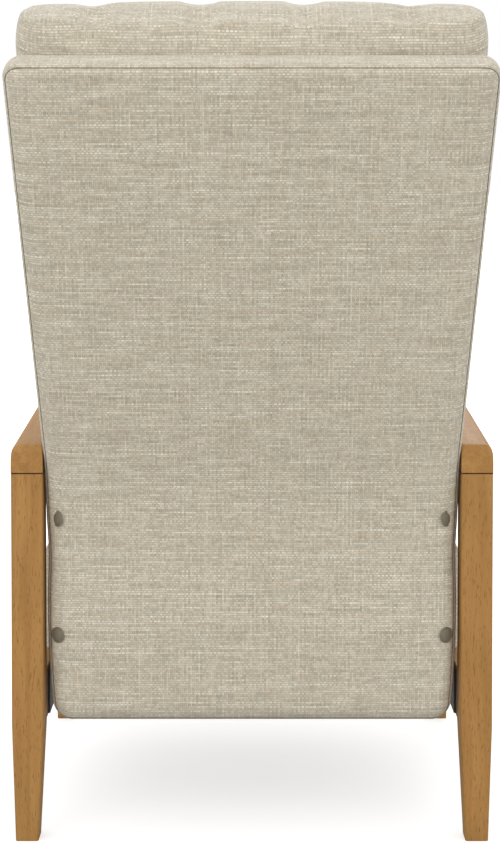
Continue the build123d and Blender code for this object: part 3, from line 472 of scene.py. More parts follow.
def closed_sheet(name, first, second):
    """A closed mesh between two grids of points, the first seen with its rows up and columns to the right."""
    rows, columns = first.shape[:2]
    offset = rows * columns
    index = np.arange(offset).reshape(rows, columns)
    quads = np.stack([index[:-1, :-1], index[:-1, 1:], index[1:, 1:], index[1:, :-1]], axis=-1).reshape(-1, 4)
    ring = np.concatenate([index[0, :-1], index[:-1, -1], index[-1, :0:-1], index[:0:-1, 0]])
    following = np.roll(ring, -1)
    band = np.stack([ring, ring + offset, following + offset, following], axis=-1)
    points = np.concatenate([first.reshape(-1, 3), second.reshape(-1, 3)])
    return mesh_object(name, points, np.concatenate([quads, quads[:, ::-1] + offset, band]))


def points_of(obj):
    """The vertices of a mesh object as an array."""
    flat = np.zeros(len(obj.data.vertices) * 3)
    obj.data.vertices.foreach_get("co", flat)
    return flat.reshape(-1, 3)


def normals_of(obj):
    flat = np.zeros(len(obj.data.vertices) * 3)
    obj.data.vertex_normals.foreach_get("vector", flat)
    return flat.reshape(-1, 3)


def move_points(obj, points):
    obj.data.vertices.foreach_set("co", np.asarray(points, np.float64).ravel())
    obj.data.update()


def apply_modifiers(obj):
    """Turns the object's evaluated shape into its plain mesh and removes its modifiers."""
    graph = bpy.context.evaluated_depsgraph_get()
    mesh = bpy.data.meshes.new_from_object(
        obj.evaluated_get(graph), preserve_all_data_layers=True, depsgraph=graph)
    old = obj.data
    obj.modifiers.clear()
    obj.data = mesh
    mesh.name = obj.name
    bpy.data.meshes.remove(old)
    return obj


def hand_over(obj, body, maker, nodes=()):
    """Gives a finished piece its material and body, and hides the frame nodes that it stands for."""
    obj.data.materials.clear()
    obj.data.materials.append(once(maker))
    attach(obj, body)
    if nodes:
        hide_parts(*nodes)
    return obj


def lay_weave(obj, up=Vector((0, 0, 1)), out=Vector((0, 1, 0))):
    """Lays the cloth on each side of a piece, in metres, with the weft level on the sides that show.

    The piece's own directions are across, up and out. A face takes the side that it looks to most."""
    across = up.cross(out)
    axes = np.array([across, up, out])
    mesh = obj.data
    layer = mesh.uv_layers.get("weave") or mesh.uv_layers.new(name="weave")
    normals = np.zeros(len(mesh.polygons) * 3)
    mesh.polygons.foreach_get("normal", normals)
    facing = np.abs(normals.reshape(-1, 3) @ axes.T).argmax(axis=1)
    totals = np.zeros(len(mesh.polygons), np.int32)
    mesh.polygons.foreach_get("loop_total", totals)
    corners = np.zeros(len(mesh.loops), np.int32)
    mesh.loops.foreach_get("vertex_index", corners)
    local = points_of(obj)[corners] @ axes.T
    side = np.repeat(facing, totals)
    columns = {0: (2, 1), 1: (0, 2), 2: (0, 1)}
    places = np.zeros((len(corners), 2))
    for index, (first, second) in columns.items():
        rows = side == index
        places[rows, 0] = local[rows, first]
        places[rows, 1] = local[rows, second]
    layer.data.foreach_set("uv", places.ravel())


def merged_copy(node, name):
    """A copy of a frame node's solid with its loose triangles joined."""
    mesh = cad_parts[node].data.copy()
    made = linked(name, mesh)
    work = bmesh.new()
    work.from_mesh(mesh)
    bmesh.ops.remove_doubles(work, verts=work.verts, dist=WELD_DISTANCE)
    work.to_mesh(mesh)
    work.free()
    mesh.materials.clear()
    return made


def islands(node):
    """The separate solids of a frame node, each as an array of its points."""
    work = bmesh.new()
    work.from_mesh(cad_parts[node].data)
    bmesh.ops.remove_doubles(work, verts=work.verts, dist=WELD_DISTANCE)
    seen = set()
    found = []
    for start in work.verts:
        if start in seen:
            continue
        group, queue = [], [start]
        seen.add(start)
        while queue:
            vert = queue.pop()
            group.append(tuple(vert.co))
            for edge in vert.link_edges:
                other = edge.other_vert(vert)
                if other not in seen:
                    seen.add(other)
                    queue.append(other)
        found.append(np.array(group))
    work.free()
    return sorted(found, key=lambda points: tuple(points.mean(axis=0).round(4)))


def relax(obj, rounds):
    """Evens out a mesh without modifiers left on it."""
    smooth = obj.modifiers.new("relax", "SMOOTH")
    smooth.iterations = rounds
    smooth.factor = 0.5
    return apply_modifiers(obj)


def remeshed(obj, size):
    """An even quad mesh of the same shape."""
    modifier = obj.modifiers.new("grid", "REMESH")
    modifier.mode = "VOXEL"
    modifier.voxel_size = size
    modifier.use_smooth_shade = True
    return apply_modifiers(obj)


def subdivided(obj):
    modifier = obj.modifiers.new("smooth", "SUBSURF")
    modifier.levels = 1
    modifier.render_levels = 1
    return apply_modifiers(obj)


def swell(obj, held, pressure, limit, frames=15):
    """Lets the cover swell under its filling's pressure for some frames, with its held points fixed."""
    rest = points_of(obj)
    group = obj.vertex_groups.new(name="held")
    group.add([int(index) for index in np.flatnonzero(held)], 1.0, "REPLACE")
    cloth = obj.modifiers.new("swell", "CLOTH")
    cloth.settings.quality = 4
    cloth.settings.mass = 0.3
    cloth.settings.tension_stiffness = 25
    cloth.settings.compression_stiffness = 25
    cloth.settings.shear_stiffness = 10
    cloth.settings.bending_stiffness = 2
    cloth.settings.use_pressure = True
    cloth.settings.uniform_pressure_force = pressure
    cloth.settings.effector_weights.gravity = 0
    cloth.settings.vertex_group_mass = group.name
    for number in range(1, frames + 1):
        bpy.context.scene.frame_set(number)
    apply_modifiers(obj)
    bpy.context.scene.frame_set(1)
    moved = points_of(obj) - rest
    length = np.linalg.norm(moved, axis=1, keepdims=True)
    move_points(obj, rest + moved * np.minimum(1, limit / np.maximum(length, 1e-9)))
    return obj


def cushion_cover(name, node, held_at, shrink):
    """A cushion's cover: an even mesh of its solid, a little smaller, swollen by its filling."""
    sizes = bpy.context.scene.recliner_sizes
    obj = merged_copy(node, name)
    remeshed(obj, sizes.grid)
    relax(obj, 6)
    points = points_of(obj)
    move_points(obj, points - normals_of(obj) * shrink)
    swell(obj, held_at(points_of(obj)), sizes.pressure, sizes.swell_limit)
    relax(obj, 2)
    # A swollen cover draws its sides in; it is eased out again to its own width
    now = points_of(obj)
    now[:, 0] *= np.abs(points[:, 0]).max() / np.abs(now[:, 0]).max()
    move_points(obj, now)
    return obj


def soft_limit(values, limit, softness):
    """Values held under a limit that they near smoothly."""
    over = np.maximum(values - (limit - softness), 0)
    return np.where(over > 0, limit - softness + softness * (1 - np.exp(-over / softness)), values)


def press_seam(obj, path, depth, width):
    """Pulls the cover in along a seam's path."""
    tree = KDTree(len(path))
    for index, point in enumerate(path):
        tree.insert(point, index)
    tree.balance()
    points, normals = points_of(obj), normals_of(obj)
    distance = np.array([tree.find(point)[2] for point in points])
    move_points(obj, points - normals * (depth * np.exp(-(distance / width) ** 2))[:, None])


def surface_path(obj, outside, aim):
    """Where lines from points outside a piece towards their aims meet its surface."""
    tree = BVHTree.FromObject(obj, bpy.context.evaluated_depsgraph_get())
    path = []
    for start, end in zip(outside, aim):
        start, end = Vector(start), Vector(end)
        hit, normal, _, _ = tree.ray_cast(start, (end - start).normalized())
        if hit is not None:
            path.append((hit, normal))
    return path


def tube(name, path, radius, sides=8, closed=True):
    """A round tube along a path of points."""
    curve = bpy.data.curves.new(name, "CURVE")
    curve.dimensions = "3D"
    spline = curve.splines.new("POLY")
    spline.points.add(len(path) - 1)
    for point, place in zip(spline.points, path):
        point.co = (*place, 1.0)
    spline.use_cyclic_u = closed
    curve.bevel_depth = radius
    curve.bevel_resolution = max(1, sides // 4)
    curve.use_fill_caps = True
    holder = linked(name, curve)
    graph = bpy.context.evaluated_depsgraph_get()
    mesh = bpy.data.meshes.new_from_object(holder.evaluated_get(graph), depsgraph=graph)
    bpy.data.objects.remove(holder)
    bpy.data.curves.remove(curve)
    mesh.shade_smooth()
    return linked(name, mesh)


def joined(name, objects):
    """One object from several."""
    work = bmesh.new()
    for obj in objects:
        work.from_mesh(obj.data)
    mesh = bpy.data.meshes.new(name)
    work.to_mesh(mesh)
    work.free()
    for obj in objects:
        bpy.data.objects.remove(obj)
    mesh.shade_smooth()
    return linked(name, mesh)


class BackForm:
    """The form of the upholstered back: a path up its rear face, its half width and its round edges."""

    STEP_COUNT = 1201
    # The number of steps, an odd one, over which the half widths are smoothed
    SMOOTHING = 101

    def __init__(self):
        upright = UPRIGHT_HEIGHT
        self.height = upright + LEAN_RISE / math.cos(BACK_LEAN)
        self.steps = np.linspace(0, self.height, self.STEP_COUNT)
        ease = np.clip((self.steps - upright + BEND_HALF_LENGTH) / (2 * BEND_HALF_LENGTH), 0, 1)
        self.tilt = BACK_LEAN * ease * ease * (3 - 2 * ease)
        step = self.steps[1]
        self.y = BACK_REAR_Y - np.concatenate([[0], np.cumsum(np.sin(self.tilt[:-1]) * step)])
        self.z = SHELL_LOW.z + np.concatenate([[0], np.cumsum(np.cos(self.tilt[:-1]) * step)])
        heights, widths = (np.array(column) * MM for column in zip(*HALF_WIDTHS))
        half = np.interp(self.steps, heights, widths)
        window = np.hanning(self.SMOOTHING)
        padded = np.pad(half, self.SMOOTHING // 2, mode="reflect", reflect_type="odd")
        self.half = np.convolve(padded, window / window.sum(), mode="valid")

    def half_width(self, h):
        return np.interp(h, self.steps, self.half)

    def corner_radius(self, h):
        return np.where(h < self.height / 2, FOOT_CORNER_RADIUS, TOP_CORNER_RADIUS)

    def edge(self, h):
        """Half the outline's width at a height, with the corners rounded off."""
        radius = self.corner_radius(h)
        near = np.minimum(h, self.height - h)
        cut = radius - np.sqrt(np.maximum(radius ** 2 - np.maximum(radius - near, 0) ** 2, 0))
        return self.half_width(h) - cut

    def inside(self, x, h):
        """How far a point lies inside the outline."""
        radius = self.corner_radius(h)
        side = np.abs(x) - (self.half_width(h) - radius)
        end = np.abs(h - self.height / 2) - (self.height / 2 - radius)
        outer = np.hypot(np.maximum(side, 0), np.maximum(end, 0))
        return np.maximum(radius - outer - np.minimum(np.maximum(side, end), 0), 0)

    def round_off(self, x, h):
        """How far the round edge falls back from the face. The top's edge is squarer than the sides'."""
        corner = self.corner_radius(h)
        side = np.abs(x) - (self.half_width(h) - corner)
        end = h - (self.height - corner)
        top_share = np.clip((end - side) / (2 * corner) + 0.5, 0, 1) * (h > self.height / 2)
        radius = BULLNOSE_RADIUS + (TOP_BULLNOSE_RADIUS - BULLNOSE_RADIUS) * top_share
        near = np.clip(radius - self.inside(x, h), 0, radius)
        return radius - np.sqrt(radius ** 2 - near ** 2)

    def place(self, x, h, depth):
        """Points of the row frame for places across, up and into the back."""
        tilt = np.interp(h, self.steps, self.tilt)
        y = np.interp(h, self.steps, self.y) + depth * np.cos(tilt)
        z = np.interp(h, self.steps, self.z) + depth * np.sin(tilt)
        return np.stack(np.broadcast_arrays(x, y, z), axis=-1)


# The mesh's rows and columns near the back's edges, close together at the seam
NEAR_EDGE = np.array((
    0.0, 0.15, 0.6, 1.3, 2.2, 3.0, 3.6, 4.1, 4.7, 5.3, 5.8, 6.5, 7.5, 9.0, 11.5, 15.0, 20.0, 26.0)) * MM
BACK_GRID = 8 * MM


def graded(length, step):
    """Places from 0 to a length, close together at both ends."""
    middle = length - 2 * NEAR_EDGE[-1]
    count = max(2, round(middle / step))
    inner = NEAR_EDGE[-1] + middle * np.arange(1, count) / count
    return np.concatenate([NEAR_EDGE, inner, length - NEAR_EDGE[::-1]])


def back_upholstery(form, sizes):
    """The back's cover: a tight rear panel within a seam, and a boxing that runs round to the front."""
    rows = graded(form.height, BACK_GRID)
    widest = 2 * form.half_width(form.height / 2)
    shares = graded(widest, BACK_GRID)
    edges = form.edge(rows)
    near = len(NEAR_EDGE)
    x = np.empty((len(rows), len(shares)))
    for index, edge in enumerate(edges):
        x[index, :near] = -edge + NEAR_EDGE
        x[index, -near:] = edge - NEAR_EDGE[::-1]
        inner = (shares[near:-near] - NEAR_EDGE[-1]) / (widest - 2 * NEAR_EDGE[-1])
        x[index, near:-near] = (inner * 2 - 1) * (edge - NEAR_EDGE[-1])
    h = np.repeat(rows[:, None], len(shares), axis=1)
    inside = form.inside(x, h)
    fall = form.round_off(x, h)
    seam_width = 1.1 * MM
    seam = sizes.seam_depth * np.exp(-((inside - sizes.seam_inset) / seam_width) ** 2)
    padding = back_padding(x, h, inside - sizes.seam_inset, inside, sizes.seed)
    rear = form.place(x, h, fall + seam - padding)
    front = form.place(x, h, BACK_THICKNESS - fall)
    obj = closed_sheet("back_upholstery", rear, front)
    lay_back_weave(obj, form, sizes.seam_inset, x, h, inside, fall)
    return obj


def back_padding(x, h, within_seam, inside, seed):
    """How far the padding stands out: full and a little uneven within the seam, drawn in at the caps."""
    puff_height, puff_run = 3.5 * MM, 70 * MM
    past = np.clip(within_seam / puff_run, 0, 1)
    puff = puff_height * past * (2 - past)
    lump_height, lump_run, lumps_across, lumps_up = 1.6 * MM, 40 * MM, 9, 7
    uneven = np.array([
        noise.noise(Vector((px * lumps_across, ph * lumps_up, seed)))
        for px, ph in zip(x.ravel(), h.ravel())])
    uneven = uneven.reshape(x.shape) * lump_height * np.clip(inside / lump_run, 0, 1)
    # Each cap draws a dimple, with short folds round it
    dimple_depth, dimple_radius = 1.6 * MM, 13 * MM
    fold_depth, fold_radius, fold_width, fold_count = 0.9 * MM, 20 * MM, 11 * MM, 5
    fold_turn_per_metre = 40
    pull = np.zeros(x.shape)
    for cap_x, cap_h in cap_places():
        aside, above = x - cap_x, h - cap_h
        reach = np.hypot(aside, above)
        folds = np.cos(fold_count * np.arctan2(above, aside) + cap_h * fold_turn_per_metre)
        pull += dimple_depth * np.exp(-(reach / dimple_radius) ** 2)
        pull += fold_depth * folds * np.exp(-((reach - fold_radius) / fold_width) ** 2)
    return puff - uneven - pull


def lay_back_weave(obj, form, seam_inset, x, h, inside, fall):
    """Lays the cloth straight on the rear panel, and round the edge on the boxing."""
    mesh = obj.data
    layer = mesh.uv_layers.new(name="weave")
    corners = np.zeros(len(mesh.loops), np.int32)
    mesh.loops.foreach_get("vertex_index", corners)
    flat = {"x": np.tile(x.ravel(), 2), "h": np.tile(h.ravel(), 2), "inside": np.tile(inside.ravel(), 2)}
    depth = np.concatenate([fall.ravel(), (BACK_THICKNESS - fall).ravel()])
    middle_inside = flat["inside"][corners].reshape(-1, 4).mean(axis=1)
    middle_x = np.abs(flat["x"][corners]).reshape(-1, 4).mean(axis=1)
    middle_h = flat["h"][corners].reshape(-1, 4).mean(axis=1)
    boxing = np.repeat(middle_inside < seam_inset, 4)
    near_end = np.minimum(middle_h, form.height - middle_h)
    on_end = np.repeat(near_end < form.half_width(middle_h) - middle_x, 4)
    u = np.where(boxing & ~on_end, depth[corners], flat["x"][corners])
    v = np.where(boxing & on_end, depth[corners], flat["h"][corners])
    layer.data.foreach_set("uv", np.stack([u, v], axis=-1).ravel())


def cap_places():
    """The caps' places across and up the back, at the heights of the frame's bolts."""
    heights = sorted({
        round((points[:, 2].min() + points[:, 2].max()) / 2, 3) for points in islands("back_bolts")})
    return [(side * CAP_X, z - SHELL_LOW.z) for side in (-1, 1) for z in heights]


def back_seam_path(form, sizes, inset):
    """The seam's path round the rear panel, at a steady distance inside the outline."""
    corner = np.linspace(0, math.pi / 2, 12)
    sides = np.linspace(FOOT_CORNER_RADIUS, form.height - TOP_CORNER_RADIUS, 160)
    half = []
    low = FOOT_CORNER_RADIUS
    centre_x = form.half_width(low) - low
    for angle in corner:
        half.append((centre_x + (low - inset) * math.sin(angle), low - (low - inset) * math.cos(angle)))
    for h in sides[1:-1]:
        half.append((form.half_width(h) - inset, h))
    high = TOP_CORNER_RADIUS
    centre_x = form.half_width(form.height - high) - high
    for angle in corner:
        half.append((centre_x + (high - inset) * math.cos(angle),
                     form.height - high + (high - inset) * math.sin(angle)))
    half = np.array(half)
    x = np.concatenate([half[:, 0], -half[::-1, 0]])
    h = np.concatenate([half[:, 1], half[::-1, 1]])
    depth = form.round_off(x, h) + sizes.seam_depth - sizes.thread_radius
    return form.place(x, h, depth)


class RECLINER_OT_wood(bpy.types.Operator):
    """Finishes the wooden arms, legs and rails"""

    bl_idname = "recliner.wood"
    bl_label = "Wood"

    def execute(self, context):
        paint_nodes(honey_wood_upright, "left_rear_leg", "left_front_leg", "right_rear_leg", "right_front_leg")
        paint_nodes(honey_wood_level, "left_side_rail", "right_side_rail")
        paint_nodes(sawn_pine, "rear_cross_rail", "front_cross_rail", "seat_front_rail", "seat_rear_rail",
                    "seat_left_rail", "seat_right_rail", "left_back_post", "right_back_post",
                    "back_bottom_rail", "back_top_rail", "footrest_board")
        for side in ("left", "right"):
            self.arm_board(side)
        return {"FINISHED"}

    def arm_board(self, side):
        """An arm whose outer top edge is rounder than its inner one, in the place of the plain arm."""

        def fall(distance, radius):
            near = np.clip(radius - distance, 0, radius)
            return radius - np.sqrt(radius ** 2 - near ** 2)

        low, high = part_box(f"{side}_arm")
        width, length = high.x - low.x, high.y - low.y
        # Places of the mesh's lines over a rounding, as shares of its radius
        steps = np.array((0.0, 0.02, 0.08, 0.16, 0.28, 0.42, 0.58, 0.78, 1.0))
        middle = np.linspace(ARM_END_RADIUS, length - ARM_END_RADIUS, 14)[1:-1]
        along = np.concatenate([steps * ARM_END_RADIUS, middle, length - steps[::-1] * ARM_END_RADIUS])
        across = np.concatenate([steps * ARM_INNER_RADIUS, width - steps[::-1] * ARM_OUTER_RADIUS])
        x = low.x + across
        if high.x < 0:
            x, across = (high.x - across)[::-1], across[::-1]
        x, y = np.meshgrid(x, low.y + along)
        across, along = np.meshgrid(across, along)
        bottom = low.z + along * math.tan(ARM_SLOPE)
        top = (bottom + ARM_THICKNESS - fall(np.minimum(along, length - along), ARM_END_RADIUS)
               - fall(across, ARM_INNER_RADIUS) - fall(width - across, ARM_OUTER_RADIUS))
        upper, lower = (np.stack([x, y, z], axis=-1) for z in (top, bottom))
        obj = closed_sheet(f"{side}_arm_board", upper, lower)
        obj.data.set_sharp_from_angle(angle=math.radians(50))
        hand_over(obj, "frame", honey_wood_level, [f"{side}_arm"])


class RECLINER_OT_back(bpy.types.Operator):
    """Builds the upholstered back with its seam and caps"""

    bl_idname = "recliner.back"
    bl_label = "Back"

    def execute(self, context):
        sizes = context.scene.recliner_sizes
        form = BackForm()
        cover = back_upholstery(form, sizes)
        hand_over(cover, "back", oatmeal_tweed, ["back_shell"])
        seam = tube("back_panel_seam", back_seam_path(form, sizes, sizes.seam_inset), sizes.thread_radius)
        hand_over(seam, "back", seam_thread)
        self.caps(form)
        return {"FINISHED"}

    def caps(self, form):
        """Low domed caps with a rim over the bolts, where the cover is pulled in."""
        places, facing = [], []
        sunk = 0.6 * MM
        for x, h in cap_places():
            side = math.copysign(1, x)
            depth = float(form.round_off(np.array(x), np.array(h)))
            places.append(form.place(x, h, depth + sunk))
            turn = UPPER_CAP_TURN if h > UPRIGHT_HEIGHT / 2 else LOWER_CAP_TURN
            facing.append((side * math.sin(turn), -math.cos(turn), 0))
        domes = instanced("cap_domes", places, facing, taupe_polyethylene, domed_shape,
                          Radius=9.6 * MM, Height=2.6 * MM)
        rims = instanced("cap_rims", places, facing, taupe_polyethylene, ring_shape,
                         Radius=9.8 * MM, Wire=1.5 * MM)
        hand_over(joined("bolt_caps", [domes, rims]), "back", taupe_polyethylene, ["back_caps"])


def back_directions():
    """Up and out of the leaning part of the back."""
    return (Vector((0, -math.sin(BACK_LEAN), math.cos(BACK_LEAN))),
            Vector((0, math.cos(BACK_LEAN), math.sin(BACK_LEAN))))


def tufts():
    """The places of the tufts, from the buttons of the frame."""
    return [points.mean(axis=0) for points in islands("tuft_buttons")]


def keep_within(points, low, high, softness):
    """Points held inside a box whose sides they near smoothly."""
    middle = (np.array(low) + np.array(high)) / 2
    reach = (np.array(high) - np.array(low)) / 2
    local = points - middle
    return middle + np.sign(local) * soft_limit(np.abs(local), reach, softness)


def seam_around(obj, middle, across, up, name, body):
    """Sews a seam round a cushion where a plane through its middle meets its cover."""
    sizes = bpy.context.scene.recliner_sizes
    point_count, well_outside, groove_width = 480, 1.5, 3.5 * MM
    middle, across, up = Vector(middle), Vector(across), Vector(up)
    angles = np.linspace(0, 2 * math.pi, point_count, endpoint=False)
    outside = [middle + (across * math.cos(angle) + up * math.sin(angle)) * well_outside for angle in angles]
    path = surface_path(obj, outside, [middle] * len(outside))
    press_seam(obj, [place for place, _ in path], sizes.seam_depth * 2, groove_width)
    path = surface_path(obj, outside, [middle] * len(outside))
    # The thread lies a third of its radius deep in the cloth
    sewn = [place - normal * sizes.thread_radius * 0.3 for place, normal in path]
    return hand_over(tube(name, sewn, sizes.thread_radius), body, seam_thread)


def instanced(name, places, facing, maker, build, **sizes):
    """One mesh of a small shape repeated at places, each turned to face its own way.

    build gets the tree and the node of its inputs, and returns the socket of the shape."""
    mesh = bpy.data.meshes.new(name)
    mesh.from_pydata([tuple(place) for place in places], [], [])
    attribute = mesh.attributes.new("facing", "FLOAT_VECTOR", "POINT")
    attribute.data.foreach_set("vector", np.array([tuple(v) for v in facing], np.float32).ravel())
    obj = linked(name, mesh)
    tree = bpy.data.node_groups.new(name, "GeometryNodeTree")
    tree.interface.new_socket("Geometry", in_out="INPUT", socket_type="NodeSocketGeometry")
    tree.interface.new_socket("Geometry", in_out="OUTPUT", socket_type="NodeSocketGeometry")
    keys = {}
    for label in sizes:
        item = tree.interface.new_socket(label, in_out="INPUT", socket_type="NodeSocketFloat")
        keys[label] = item.identifier
    inputs = add(tree, "NodeGroupInput")
    direction = add(tree, "GeometryNodeInputNamedAttribute", {"Name": "facing"}, data_type="FLOAT_VECTOR")
    turn = add(tree, "FunctionNodeAlignRotationToVector", {"Vector": direction}, axis="Z")
    spread = add(tree, "GeometryNodeInstanceOnPoints", {
        "Points": inputs, "Instance": build(tree, inputs), "Rotation": turn})
    real = add(tree, "GeometryNodeRealizeInstances", {0: spread})
    smooth = add(tree, "GeometryNodeSetShadeSmooth", {0: real})
    painted = add(tree, "GeometryNodeSetMaterial", {"Geometry": smooth, "Material": once(maker)})
    add(tree, "NodeGroupOutput", {0: painted})
    modifier = obj.modifiers.new("spread", "NODES")
    modifier.node_group = tree
    for label, value in sizes.items():
        modifier[keys[label]] = value
    return apply_modifiers(obj)


def domed_shape(tree, inputs):
    """A low dome on a short round side, as of a covered button or a rivet head."""
    ball = add(tree, "GeometryNodeMeshUVSphere", {"Segments": 20, "Rings": 10, "Radius": 1.0})
    size = add(tree, "ShaderNodeCombineXYZ", {
        "X": inputs.outputs["Radius"], "Y": inputs.outputs["Radius"], "Z": inputs.outputs["Height"]})
    return add(tree, "GeometryNodeTransform", {"Geometry": ball, "Scale": size})


def ring_shape(tree, inputs):
    """A round rim that lies flat."""
    path = add(tree, "GeometryNodeCurvePrimitiveCircle", {
        "Resolution": 40, "Radius": inputs.outputs["Radius"]}, mode="RADIUS")
    wire = add(tree, "GeometryNodeCurvePrimitiveCircle", {
        "Resolution": 10, "Radius": inputs.outputs["Wire"]}, mode="RADIUS")
    return add(tree, "GeometryNodeCurveToMesh", {"Curve": path, "Profile Curve": wire})


class RECLINER_OT_back_cushion(bpy.types.Operator):
    """Builds the tufted back cushion and its covered buttons"""

    bl_idname = "recliner.back_cushion"
    bl_label = "Back Cushion"

    def execute(self, context):
        sizes = context.scene.recliner_sizes
        up, out = back_directions()
        places = np.array(tufts())

        button_reach = 15 * MM

        def held_at(points):
            near_tuft = (np.linalg.norm(points[:, None] - places[None], axis=2) < button_reach).any(axis=1)
            return near_tuft | (behind(points) < SOFT_EDGE)

        def behind(points):
            """How far points stand out from the back's front face."""
            bend_z = SHELL_LOW.z + UPRIGHT_HEIGHT + BACK_THICKNESS * math.tan(BACK_LEAN / 2)
            return (points - np.array((0, BACK_FRONT_Y, bend_z))) @ np.array(out)

        obj = cushion_cover("back_cushion_cover", "back_cushion", held_at, 4 * MM)
        points = points_of(obj)
        # The cover is fuller towards its top corners, and keeps a little off the back's own cover
        points[:, 0] *= np.interp(points[:, 2], (0.62, 0.95, 1.06, 1.12), (1.0, 1.025, 1.03, 1.055))
        back_gap = 1.0 * MM
        low = behind(points) < back_gap
        points[low] += np.outer(back_gap - behind(points[low]), out)
        low_corner, high_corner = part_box("back_cushion")
        points[:, 2] = np.maximum(points[:, 2], low_corner.z)
        # Between the arms it keeps clear of them; from 60 mm above them it has its full width
        widest = np.interp(points[:, 2], (ARM_HIGH.z, ARM_HIGH.z + 60 * MM),
                           (INNER_X - SIDE_GAP, high_corner.x + SOFT_EDGE))
        points[:, 0] = np.sign(points[:, 0]) * soft_limit(np.abs(points[:, 0]), widest, SOFT_EDGE)
        move_points(obj, points)
        self.pucker(obj, places, up, out)
        subdivided(obj)
        seam_forward = 38 * MM
        middle = (low_corner + high_corner) / 2 + out * seam_forward
        seam_around(obj, middle, (1, 0, 0), up, "back_cushion_seam", "back")
        lay_weave(obj, up, out)
        hand_over(obj, "back", oatmeal_tweed, ["back_cushion"])
        buttons = instanced("covered_buttons", places, [out] * len(places), oatmeal_tweed, domed_shape,
                            Radius=12 * MM, Height=6 * MM)
        lay_weave(buttons, up, out)
        hand_over(buttons, "back", oatmeal_tweed, ["tuft_buttons"])
        return {"FINISHED"}

    def pucker(self, obj, places, up, out):
        """Folds that run out from each button, where the cover is gathered."""
        fold_height, fold_radius, fold_width, fold_depth_limit = 1.7 * MM, 30 * MM, 22 * MM, 60 * MM
        points, normals = points_of(obj), normals_of(obj)
        for number, place in enumerate(places):
            local = points - place
            side, rise, depth = local[:, 0], local @ np.array(up), local @ np.array(out)
            reach = np.hypot(side, rise)
            angle = np.arctan2(rise, side)
            folds = np.cos(7 * angle + number * 1.7) + 0.6 * np.cos(4 * angle + number * 0.9)
            ring = np.exp(-((reach - fold_radius) / fold_width) ** 2)
            strength = fold_height * ring * (np.abs(depth) < fold_depth_limit)
            points += normals * (folds * strength)[:, None]
        move_points(obj, points)


class RECLINER_OT_seat_cushion(bpy.types.Operator):
    """Builds the seat cushion with its boxing seams"""

    bl_idname = "recliner.seat_cushion"
    bl_label = "Seat Cushion"

    def execute(self, context):
        low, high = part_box("seat_cushion")
        crown, rear_crown = 18 * MM, 2 * MM

        def held_at(points):
            return points[:, 2] < low.z + HELD_DEPTH

        obj = cushion_cover("seat_cushion_cover", "seat_cushion", held_at, 5 * MM)
        limit_low = (-(INNER_X - SIDE_GAP), low.y - 2 * MM, low.z)
        limit_high = (INNER_X - SIDE_GAP, high.y + 6 * MM, high.z + crown)
        points = keep_within(points_of(obj), limit_low, limit_high, SOFT_EDGE)
        # Under the back cushion's foot it stays down
        ceiling = np.interp(points[:, 1], (-20 * MM, 120 * MM), (high.z + rear_crown, high.z + crown))
        points[:, 2] = np.minimum(points[:, 2], ceiling)
        move_points(obj, points)
        subdivided(obj)
        middle = (low + high) / 2
        low_seam_rise, high_seam_drop = 22 * MM, 26 * MM
        for number, height in enumerate((low.z + low_seam_rise, high.z - high_seam_drop)):
            seam_around(obj, (0, middle.y, height), (1, 0, 0), (0, 1, 0),
                        f"seat_cushion_seam_{number + 1}", "frame")
        lay_weave(obj)
        hand_over(obj, "frame", oatmeal_tweed, ["seat_cushion"])
        return {"FINISHED"}


class RECLINER_OT_footrest_pad(bpy.types.Operator):
    """Builds the padded front of the footrest"""

    bl_idname = "recliner.footrest_pad"
    bl_label = "Footrest Pad"

    def execute(self, context):
        low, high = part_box("footrest_pad")

        def held_at(points):
            return points[:, 1] < low.y + HELD_DEPTH

        obj = cushion_cover("footrest_pad_cover", "footrest_pad", held_at, 4 * MM)
        limit_low = (low.x - 4 * MM, low.y, low.z - 3 * MM)
        limit_high = (high.x + 4 * MM, high.y + 9 * MM, high.z + 4 * MM)
        move_points(obj, keep_within(points_of(obj), limit_low, limit_high, 5 * MM))
        subdivided(obj)
        middle, seam_setback = (low + high) / 2, 24 * MM
        seam_around(obj, (0, high.y - seam_setback, middle.z), (1, 0, 0), (0, 0, 1),
                    "footrest_pad_seam", "footrest")
        lay_weave(obj)
        hand_over(obj, "footrest", oatmeal_tweed, ["footrest_pad"])
        return {"FINISHED"}


class RECLINER_OT_seat_box(bpy.types.Operator):
    """Covers the seat box's rails in cloth"""

    bl_idname = "recliner.seat_box"
    bl_label = "Seat Box"

    def execute(self, context):
        mesh_size, cloth_thickness = 3 * MM, 0.8 * MM
        for node in ("seat_front_rail", "seat_left_rail", "seat_right_rail"):
            obj = relax(remeshed(merged_copy(node, f"{node}_cover"), mesh_size), 3)
            # The cloth has its own thickness, except on top, where the webbing lies
            points, normals = points_of(obj), normals_of(obj)
            normals[:, 2] = np.minimum(normals[:, 2], 0)
            move_points(obj, points + normals * cloth_thickness)
            lay_weave(obj)
            hand_over(obj, "frame", oatmeal_tweed, [node])
        return {"FINISHED"}


